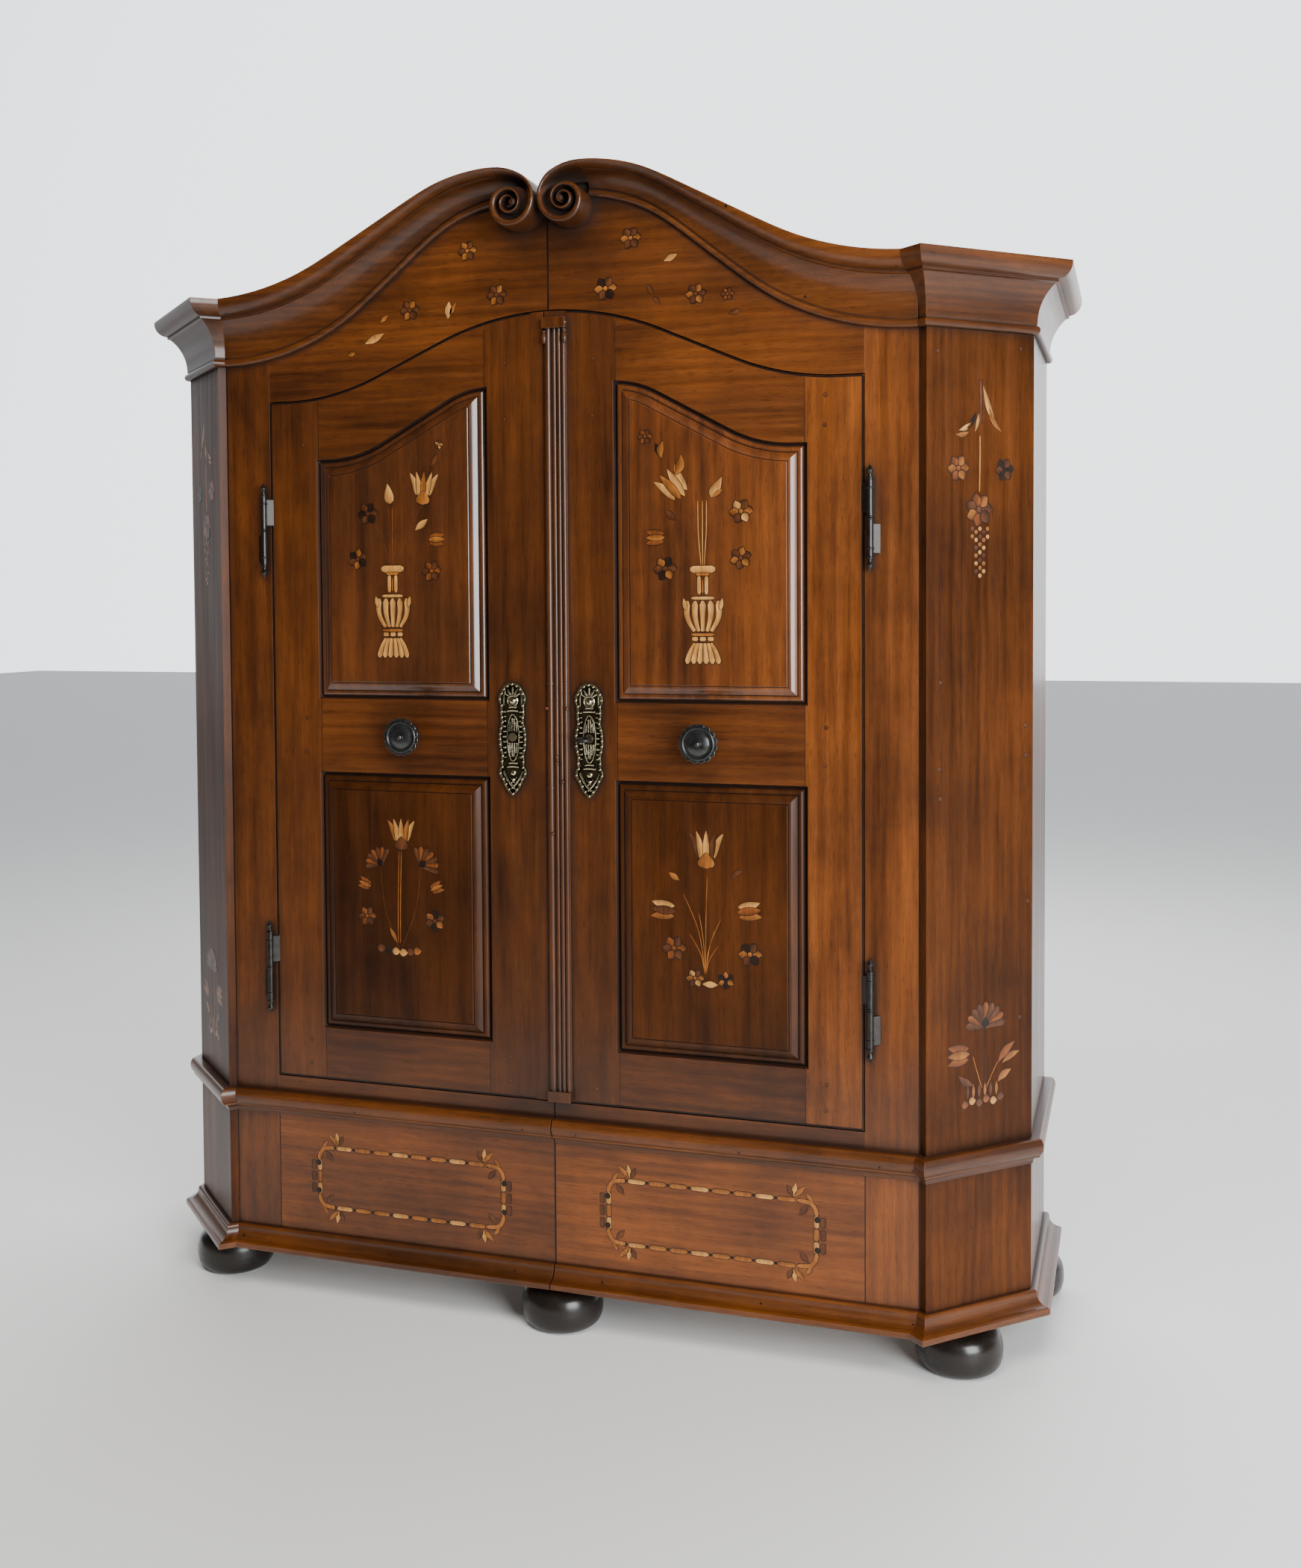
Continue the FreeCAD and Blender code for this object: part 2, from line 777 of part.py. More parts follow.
def frame_hinge_half(z):
    """Lower knuckle with the pin, fixed to the stile."""
    foot_point = Vector(hinge_x, -hinge_forward, z - barrel_half_length)
    barrel = Part.makeCylinder(barrel_radius, barrel_half_length, foot_point)
    pin = Part.makeCylinder(pin_radius, barrel_half_length + pin_length, foot_point)
    blade = hinge_blade(z - barrel_half_length / 2, 1, 0)
    return barrel.fuse([pin, blade, finial(z - barrel_half_length, -1)]).removeSplitter()


def door_hinge_half(z):
    """Upper knuckle with its bore, fixed to the door."""
    low = Vector(hinge_x, -hinge_forward, z + knuckle_gap)
    barrel = Part.makeCylinder(barrel_radius, barrel_half_length - knuckle_gap, low)
    blade = hinge_blade(z + barrel_half_length / 2, -1, 0)
    solid = barrel.fuse([blade, finial(z + barrel_half_length, 1)]).removeSplitter()
    bore = Part.makeCylinder(pin_radius + pin_play, pin_length + knuckle_gap,
                             Vector(hinge_x, -hinge_forward, z))
    return solid.cut(bore)


def hinges():
    levels = (upper_hinge_z, lower_hinge_z)
    frame = Part.makeCompound([frame_hinge_half(z) for z in levels])
    save("frame_hinge_halves", Part.makeCompound([frame, mirrored(frame)]))
    door = Part.makeCompound([door_hinge_half(z) for z in levels])
    save("right_door_hinge_halves", door)
    save("left_door_hinge_halves", mirrored(door))


def panel_outline(upper, grow):
    """Outline of a panel opening, grown or shrunk all round."""
    x = (inner_stile_outer, outer_stile_inner)
    if upper:
        top = panel_arch.edges(x[0], x[1])
        ends = [panel_arch.height(v) for v in x]
        low = middle_rail_top
    else:
        top = chain([(x[0], middle_rail_bottom), (x[1], middle_rail_bottom)])
        ends = [middle_rail_bottom, middle_rail_bottom]
        low = bottom_rail_top
    rest = chain([(x[1], ends[1]), (x[1], low), (x[0], low), (x[0], ends[0])])
    wire = Part.Wire(Part.sortEdges(top + rest)[0])
    if grow == 0:
        return wire
    return wire.makeOffset2D(grow, 2)


def slab(wire, y_from, y_to):
    """Solid between two depths on an outline."""
    face = Part.Face(wire)
    face.translate(Vector(0, y_from, 0))
    return face.extrude(Vector(0, y_to - y_from, 0))


def rounded_slab(wire, y_front, y_back, radius):
    """Slab with its front arrises rounded over."""
    solid = slab(wire, y_front, y_back)
    front = [e for e in solid.Edges
             if all(abs(v.Y - y_front) < stop_clearance for v in e.Vertexes)]
    return solid.makeFillet(radius, front)


def panel(upper):
    """Fielded panel: a tongued back and three rounded steps up to the field."""
    level = edge_fall
    tongue = slab(panel_outline(upper, groove_depth - groove_play), level,
                  level + panel_back_thickness)
    pieces = []
    inset = panel_quirk
    back = level
    for width, rise, radius in zip(panel_step_widths, panel_step_rises, panel_step_rounds):
        level -= rise
        pieces.append(rounded_slab(panel_outline(upper, -inset), level, back + groove_play, radius))
        inset += width
        back = level + radius
    return tongue.fuse(pieces).removeSplitter()


def opening_cutter(upper):
    """What an opening takes from the door frame: sloping edge, hole and groove."""
    wide = panel_outline(upper, edge_width)
    deep = panel_outline(upper, 0)
    deep.translate(Vector(0, edge_fall, 0))
    flare = Part.makeLoft([wide, deep], True, True)
    hole = slab(panel_outline(upper, 0), 0, door_thickness)
    groove = slab(panel_outline(upper, groove_depth), edge_fall - groove_play,
                  edge_fall + panel_back_thickness + groove_play)
    return flare.fuse([hole, groove])


def door(name, edge, keyed):
    """Frame and panels of one door, drawn as the right one."""
    depth = (0, door_thickness)
    bottom = sill_top + door_gap
    x = (edge, inner_stile_outer, outer_stile_inner, door_outer_edge)

    def member(x_from, x_to):
        top = door_arch.edges(x_from, x_to)
        ends = [door_arch.height(v) for v in (x_from, x_to)]
        rest = chain([(x_to, ends[1]), (x_to, bottom), (x_from, bottom), (x_from, ends[0])])
        return front_prism(top + rest, 0, door_thickness)

    cutters = [opening_cutter(True), opening_cutter(False)]
    inner_stile = member(x[0], x[1]).cut(cutters)
    if keyed:
        inner_stile = inner_stile.cut(cylinder_y(key_radius + key_play, 0, door_thickness,
                                                 keyhole_x, keyhole_z))
    slots = [hinge_blade(z, -1, blade_play) for z in hinge_knuckle_centres(1)]
    outer_stile = member(x[2], x[3]).cut(cutters + slots)
    arched = member(x[1], x[2])
    rails_low = box((x[1], x[2]), depth, (bottom, middle_rail_top))
    top_rail = arched.cut([rails_low] + cutters)
    middle_rail = box((x[1], x[2]), depth, (middle_rail_bottom, middle_rail_top)).cut(cutters)
    bottom_rail = box((x[1], x[2]), depth, (bottom, bottom_rail_top)).cut(cutters)
    pieces = {
        "inner_stile": inner_stile,
        "outer_stile": outer_stile,
        "top_rail": top_rail,
        "middle_rail": middle_rail,
        "bottom_rail": bottom_rail,
        "upper_panel": panel(True),
        "lower_panel": panel(False),
    }
    for piece, shape in pieces.items():
        if name == "left_door":
            shape = mirrored(shape)
        save(name + "_" + piece, shape)


def astragal():
    """Reeded strip on the meeting edge of the right door."""
    left = -meeting_edge
    low = sill_top + door_gap + strip_foot_gap
    high = door_crest_z - strip_top_drop
    solid = box((left, left + strip_width), (-strip_base, 0), (low, high))
    shaft_x = left + strip_margin + shaft_radius
    centres = [(shaft_x, shaft_radius)]
    right = left + strip_width - strip_margin - reed_radius
    first = shaft_x + shaft_radius + strip_margin + reed_radius
    for i in range(reed_count):
        centres.append((first + i * (right - first) / (reed_count - 1), reed_radius))
    parts = []
    for x, radius in centres:
        parts.append(Part.makeCylinder(radius, high - low, Vector(x, -strip_base, low)))
    for z in ring_levels:
        parts.append(Part.makeCylinder(shaft_radius + ring_extra, ring_height,
                                       Vector(shaft_x, -strip_base, z)))
    behind = box((left, left + strip_width), (0, strip_width), (low, high))
    blocks = [
        box((left, left + strip_width), (-strip_block_depth, 0), (low, low + strip_block_height)),
        box((left, left + strip_width), (-strip_block_depth, 0), (high - strip_block_height, high)),
    ]
    solid = solid.fuse([p.cut(behind) for p in parts] + blocks).removeSplitter()
    save("astragal", solid)


def plate_outline(margin):
    """Lobed outline of a lock plate, drawn in by a margin."""
    half = plate_width / 2 - margin
    tall = plate_height - 2 * margin
    base = keyhole_z - plate_drop - plate_height / 2 + margin

    def place(pair, side):
        return Vector(side * half * pair[0], 0, base + tall * pair[1])

    edges = []
    for side in (1, -1):
        last = place((0.0, 1.0), side)
        for end, middle in plate_outline_shares:
            there = place(end, side)
            edges.append(Part.Arc(last, place(middle, side), there).toShape())
            last = there
    wire = Part.Wire(Part.sortEdges(edges)[0])
    wire.translate(Vector(keyhole_x, 0, 0))
    return wire


def escutcheons():
    """Long cast plates with a raised rim round a shield."""
    plate = slab(plate_outline(0), -plate_thickness, 0)
    rim = slab(plate_outline(0), -plate_relief, 0).cut(slab(plate_outline(plate_rim), -plate_relief, 0))
    shield = cylinder_y(key_radius + key_play + plate_rim, -plate_relief, 0, keyhole_x, keyhole_z)
    solid = plate.fuse([rim, shield]).removeSplitter()
    hole = cylinder_y(key_radius + key_play, -plate_relief, 0, keyhole_x, keyhole_z)
    save("right_door_escutcheon", solid.cut(hole))
    save("left_door_escutcheon", mirrored(solid))


def knob():
    """Cast pull: a round foot, a neck that flares, and a petalled rosette with a boss."""
    centre = Vector(knob_x, 0, knob_z)
    outward = Vector(0, -1, 0)
    dome_y = boss_radius - knob_stand
    face_y = dome_y + rosette_dome_rise
    back_y = face_y + rosette_thickness
    valley = rosette_radius * (1 - petal_depth_share)
    pitch = 360 / rosette_petals
    edges = []
    for i in range(rosette_petals):
        start = turn_point(centre, valley, i * pitch)
        tip = turn_point(centre, rosette_radius, (i + 0.5) * pitch)
        end = turn_point(centre, valley, (i + 1) * pitch)
        edges.append(Part.Arc(start, tip, end).toShape())
    petals = front_prism(edges, face_y, back_y)
    flare_start = Vector(knob_x, back_y + knob_flare_length, knob_z)
    flare = Part.makeCone(knob_neck_radius, rosette_dome_radius, knob_flare_length, flare_start, outward)
    neck = cylinder_y(knob_neck_radius, back_y, 0, knob_x, knob_z)
    base = cylinder_y(knob_base_radius, -knob_base_thickness, 0, knob_x, knob_z)
    in_front = cylinder_y(rosette_radius, -knob_stand, face_y, knob_x, knob_z)
    ring_centre = Vector(knob_x, face_y, knob_z)
    ring = Part.makeTorus(rosette_ring_radius, rosette_ring_wire, ring_centre, outward)
    ball = (rosette_dome_radius ** 2 + rosette_dome_rise ** 2) / (2 * rosette_dome_rise)
    dome = Part.makeSphere(ball, Vector(knob_x, dome_y + ball, knob_z))
    boss = Part.makeSphere(boss_radius, Vector(knob_x, dome_y, knob_z))
    body = petals.fuse([flare, neck, base])
    return body.fuse([ring.common(in_front), dome.common(in_front), boss.common(in_front)]).removeSplitter()


def knobs():
    solid = knob()
    save("right_door_knob", solid)
    save("left_door_knob", mirrored(solid))


def bolt_level():
    """Lower and upper edge of the lock bolt, above the swing of the key."""
    low = keyhole_z + bit_length + bit_clearance
    return low, low + bolt_height


def bolt_span():
    """Depths between which the lock bolt slides."""
    front = door_thickness + lock_wall + bolt_play
    return front, front + bolt_depth


def lock():
    """Lock case on the back of the right door, its bolt, and the keep opposite."""
    z_middle = keyhole_z + key_swing_radius / 2
    z = (z_middle - lock_height / 2, z_middle + lock_height / 2)
    x = (lock_inset - meeting_edge, lock_inset - meeting_edge + lock_width)
    case = box(x, (door_thickness, door_thickness + lock_depth), z)
    low, high = bolt_level()
    front, back = bolt_span()
    channel = box((x[0], x[1] - lock_wall), (front - bolt_play, back + bolt_play),
                  (low - bolt_play, high + bolt_play))
    swing = cylinder_y(key_swing_radius, front - bolt_play, back + bolt_play, keyhole_x, keyhole_z)
    entry = cylinder_y(key_radius + key_play, door_thickness, front, keyhole_x, keyhole_z)
    save("lock_case", case.cut([channel, swing, entry]))
    bolt_x = (x[0] + bolt_rest, x[0] + bolt_rest + bolt_length)
    save("lock_bolt", box(bolt_x, (front, back), (low, high)))
    keep_x = (-keep_inset - keep_width, -keep_inset)
    keep = box(keep_x, (door_thickness, door_thickness + lock_depth),
               (low - bolt_play - keep_wall, high + bolt_play + keep_wall))
    pocket = box((keep_x[0] + keep_wall, keep_x[1]), (front - bolt_play, back + bolt_play),
                 (low - bolt_play, high + bolt_play))
    save("lock_keep", keep.cut(pocket))


def key():
    """Key with a ring bow lying level, a collared shank and a bit that hangs down."""
    front, back = bolt_span()
    shank = cylinder_y(key_radius, -key_stand, back, keyhole_x, keyhole_z)
    collar_y = -key_stand + key_collar_length
    collar = cylinder_y(key_collar_radius, -key_stand, collar_y, keyhole_x, keyhole_z)
    bow = Part.makeTorus(bow_radius, bow_wire,
                         Vector(keyhole_x, -key_stand - bow_radius + bow_wire / 2, keyhole_z))
    bit = box((keyhole_x - bit_thickness / 2, keyhole_x + bit_thickness / 2),
              (front, back), (keyhole_z - bit_length, keyhole_z))
    solid = shank.fuse(collar).fuse(bow).removeSplitter()
    save("key", solid.fuse(bit).removeSplitter())


def shoot_bolts():
    """Square bolts with a small grip, and the staples that they slide in."""
    y = (door_thickness + shoot_stand, door_thickness + shoot_stand + shoot_size)
    x = (-shoot_x - shoot_size / 2, -shoot_x + shoot_size / 2)
    middle_y = (y[0] + y[1]) / 2
    ends = {
        "top_shoot_bolt": (shoot_top() - shoot_clearance, -1),
        "bottom_shoot_bolt": (sill_top + stop_lap + shoot_clearance, 1),
    }
    guides = []
    for name, (tip, inwards) in ends.items():
        tail = tip + inwards * shoot_length
        rod = box(x, y, (tip, tail))
        grip_z = tip + inwards * (guide_offset + guide_pitch / 2 + guide_height)
        grip = cylinder_y(shoot_knob_radius, middle_y, y[1] + shoot_knob_length, -shoot_x, grip_z)
        save(name, rod.fuse(grip).removeSplitter())
        for step in (0, 1):
            near = tip + inwards * (guide_offset + step * guide_pitch)
            z = (near, near + inwards * guide_height)
            wide = shoot_size / 2 + guide_wall
            block = box((-shoot_x - wide, -shoot_x + wide), (door_thickness, y[1] + guide_wall), z)
            play = shoot_size / 2 + shoot_play
            way = box((-shoot_x - play, -shoot_x + play), (middle_y - play, middle_y + play),
                      (min(z) - overrun, max(z) + overrun))
            guides.append(block.cut(way))
    save("bolt_guides", Part.makeCompound(guides))


os.makedirs("parts", exist_ok=True)
frame_corner, arris_corner, back_corner = carcass_boards()
floor_and_roof(frame_corner, arris_corner, back_corner)
joining_battens()
sills_and_head_rails()
friezes()
cornices()
volutes()
mouldings()
feet()
hinges()
door("right_door", -meeting_edge, True)
door("left_door", meeting_edge + door_gap, False)
astragal()
escutcheons()
knobs()
lock()
key()
shoot_bolts()
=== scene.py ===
import math

import bmesh
import bpy
from mathutils import Matrix, Vector
from mathutils.bvhtree import BVHTree


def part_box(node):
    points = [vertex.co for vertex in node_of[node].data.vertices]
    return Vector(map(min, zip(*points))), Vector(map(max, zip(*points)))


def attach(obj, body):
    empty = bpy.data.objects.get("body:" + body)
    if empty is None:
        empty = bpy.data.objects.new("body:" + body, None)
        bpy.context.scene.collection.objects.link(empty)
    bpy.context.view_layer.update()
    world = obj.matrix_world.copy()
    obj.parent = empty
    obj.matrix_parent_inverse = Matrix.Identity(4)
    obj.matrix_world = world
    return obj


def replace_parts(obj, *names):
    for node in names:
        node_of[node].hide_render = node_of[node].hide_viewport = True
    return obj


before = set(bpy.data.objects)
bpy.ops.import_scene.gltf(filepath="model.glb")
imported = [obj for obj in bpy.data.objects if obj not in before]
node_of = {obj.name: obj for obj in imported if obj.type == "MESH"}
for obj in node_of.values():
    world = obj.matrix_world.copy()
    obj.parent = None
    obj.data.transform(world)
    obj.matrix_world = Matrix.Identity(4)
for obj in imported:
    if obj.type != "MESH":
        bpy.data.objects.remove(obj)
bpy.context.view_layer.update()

front_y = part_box("frieze_right")[0].y


# The studio floor: one pale painted board that runs far back behind the
# cupboard, and ends in front of it, so that the polish mirrors a dark room.
def node(tree, kind, sockets=None, **settings):
    """Add a node, set what is a value and link what is another node's output."""
    made = tree.nodes.new("ShaderNode" + kind)
    for key, value in settings.items():
        setattr(made, key, value)
    for key, value in (sockets or {}).items():
        if isinstance(value, bpy.types.NodeSocket):
            tree.links.new(value, made.inputs[key])
        else:
            made.inputs[key].default_value = value
    return made


def ramp(tree, mask, stops):
    """Colour or value along a mask, by stops of a place and a grey or a colour."""
    made = node(tree, "ValToRGB", {"Fac": mask})
    elements = made.color_ramp.elements
    while len(elements) < len(stops):
        elements.new(0.5)
    for element, (place, tone) in zip(elements, stops):
        element.position = place
        colour = (tone, tone, tone) if isinstance(tone, float) else tone
        element.color = (*colour, 1)
    return made.outputs["Color"]


def new_finish(name):
    """Material with its node tree and its shader."""
    material = bpy.data.materials.new(name)
    material.use_nodes = True
    return material, material.node_tree, material.node_tree.nodes["Principled BSDF"]


floor_half, floor_front, floor_back = 20.0, -1.9, 24.0
floor_colour, floor_shade = (0.92, 0.92, 0.91), 0.97
floor_paint, tree, shader = new_finish("studio_floor")
mottle = node(tree, "TexNoise", {"Vector": node(tree, "TexCoord").outputs["Object"], "Scale": 3.0})
dimmer = [c * floor_shade for c in floor_colour]
mottled = ramp(tree, mottle.outputs["Fac"], [(0.0, dimmer), (1.0, floor_colour)])
tree.links.new(mottled, shader.inputs["Base Color"])
shader.inputs["Roughness"].default_value = 0.6
mesh = bpy.data.meshes.new("studio_floor")
mesh.from_pydata([(-floor_half, floor_front, 0), (floor_half, floor_front, 0),
                  (floor_half, floor_back, 0), (-floor_half, floor_back, 0)], [], [(0, 1, 2, 3)])
mesh.materials.append(floor_paint)
floor = bpy.data.objects.new("studio_floor", mesh)
bpy.context.scene.collection.objects.link(floor)


# The studio's air and lamps: pale light from the far end that fades to a dark
# room in front, a tall window on the right, and soft boxes above and behind.
# Of the lamps, only the window is mirrored in the polish.
air_dark, air_bright = 0.08, 2.7
air_fade = (0.3, 0.85)
world = bpy.data.worlds.new("studio_air")
world.use_nodes = True
tree = world.node_tree
background = tree.nodes["Background"]
toward = node(tree, "SeparateXYZ", {0: node(tree, "TexCoord").outputs["Generated"]})
fade = node(tree, "MapRange", {"Value": toward.outputs["Y"], 1: air_fade[0], 2: air_fade[1],
                               3: air_dark, 4: air_bright}, interpolation_type="SMOOTHSTEP")
tree.links.new(fade.outputs[0], background.inputs["Strength"])
background.inputs["Color"].default_value = (0.93, 0.96, 1.0, 1)
bpy.context.scene.world = world

# name, place, aim, breadth and height, watts, colour
lamps = [
    ("window", (3.4, -2.9, 1.8), (0.3, 0.0, 1.2), (2.2, 2.6), 310.0, (0.95, 0.98, 1.0)),
    ("top_softbox", (0.3, -2.6, 4.6), (0.0, 0.0, 1.2), (3.6, 1.8), 170.0, (1.0, 0.95, 0.88)),
    ("back_softbox", (0.0, 3.4, 3.4), (0.0, 1.6, 0.0), (4.0, 1.2), 120.0, (1.0, 1.0, 1.0)),
]
for name, place, aim, size, watts, colour in lamps:
    lamp = bpy.data.lights.new(name, "AREA")
    lamp.shape = "RECTANGLE"
    lamp.size, lamp.size_y = size
    lamp.energy = watts
    lamp.color = colour
    holder = bpy.data.objects.new(name, lamp)
    holder.location = place
    holder.rotation_euler = (Vector(aim) - Vector(place)).to_track_quat("-Z", "Y").to_euler()
    holder.visible_glossy = name == "window"
    bpy.context.scene.collection.objects.link(holder)


# The camera: where the photographer stood, right of the middle and at chest
# height, with a standard lens. Its focal length and its centre are given in
# the photograph's pixels.
picture_width, picture_height = 1743.0, 2100.0
focal_pixels, centre_across, centre_down = 2152.01, 829.54, 881.83
sensor_width = 36.0
camera_place = Vector((1.0807, front_y - 2.8731, 1.4183))
yaw, pitch, roll = (math.radians(a) for a in (18.18, 2.23, -0.38))
forward = Vector((-math.sin(yaw) * math.cos(pitch), math.cos(yaw) * math.cos(pitch), -math.sin(pitch)))
level = Vector((math.cos(yaw), math.sin(yaw), 0.0))
upward = level.cross(forward)
across = level * math.cos(roll) + upward * math.sin(roll)
above = upward * math.cos(roll) - level * math.sin(roll)
lens = bpy.data.cameras.new("camera")
lens.sensor_width = sensor_width
lens.lens = focal_pixels / picture_height * sensor_width
lens.shift_x = (picture_width / 2 - centre_across) / picture_height
lens.shift_y = (centre_down - picture_height / 2) / picture_height
holder = bpy.data.objects.new("camera", lens)
turn = Matrix((across, above, -forward)).transposed().to_4x4()
holder.matrix_world = Matrix.Translation(camera_place) @ turn
bpy.context.scene.collection.objects.link(holder)
bpy.context.scene.camera = holder


# The carcass: corner boards, stiles, sides and base of solid walnut, grooved
# and pegged together under old shellac. Dusters have rubbed the arrises pale,
# and the corners are darkened with dust and painted shade.
def blend(tree, mask, first, second, how="MIX"):
    """Colour mix of two tones by a mask."""
    made = node(tree, "Mix", data_type="RGBA", blend_type=how)
    for socket, value in ((made.inputs[0], mask), (made.inputs[6], first), (made.inputs[7], second)):
        if isinstance(value, bpy.types.NodeSocket):
            tree.links.new(value, socket)
        else:
            socket.default_value = value
    return made.outputs[2]


def group(name, inputs, outputs):
    """Empty node group with named inputs and outputs."""
    tree = bpy.data.node_groups.new(name, "ShaderNodeTree")
    for label, kind, value in inputs:
        socket = tree.interface.new_socket(label, in_out="INPUT", socket_type=kind)
        socket.default_value = value
    for label, kind in outputs:
        tree.interface.new_socket(label, in_out="OUTPUT", socket_type=kind)
    return tree, tree.nodes.new("NodeGroupInput").outputs, tree.nodes.new("NodeGroupOutput").inputs


def handling_group():
    """Where arrises are rubbed, and where quirks and corners are darkened: dirt and old polish, and painted
    shade.
    """
    tree, given, result = group(
        "handling_and_shade",
        [("Arris", "NodeSocketFloat", 0.0015), ("Quirk", "NodeSocketFloat", 0.02)],
        [("Rubbed", "NodeSocketFloat"), ("Dirt_And_Shade", "NodeSocketFloat"), ("Eased", "NodeSocketVector")])
    eased = node(tree, "Bevel", {"Radius": given["Arris"]}, samples=4)
    surface = node(tree, "NewGeometry")
    same = node(tree, "VectorMath", {0: eased.outputs[0], 1: surface.outputs["Normal"]},
                operation="DOT_PRODUCT")
    place = node(tree, "TexCoord").outputs["Object"]
    patches = node(tree, "TexNoise", {"Vector": place, "Scale": 26.0, "Detail": 3.0})
    edge = node(tree, "MapRange", {"Value": same.outputs["Value"], 1: 0.995, 2: 0.85})
    rubbed = node(tree, "Math", {0: edge.outputs[0], 1: patches.outputs["Fac"]}, operation="MULTIPLY")
    tree.links.new(rubbed.outputs[0], result["Rubbed"])
    # Occlusion darkens quirks, corners and recesses: dirt there, and painted shade.
    hidden = node(tree, "AmbientOcclusion", {"Distance": given["Quirk"]}, samples=6, only_local=False)
    dirt_and_shade = node(tree, "MapRange", {"Value": hidden.outputs["AO"], 1: 0.94, 2: 0.42})
    tree.links.new(dirt_and_shade.outputs[0], result["Dirt_And_Shade"])
    tree.links.new(eased.outputs[0], result["Eased"])
    return tree


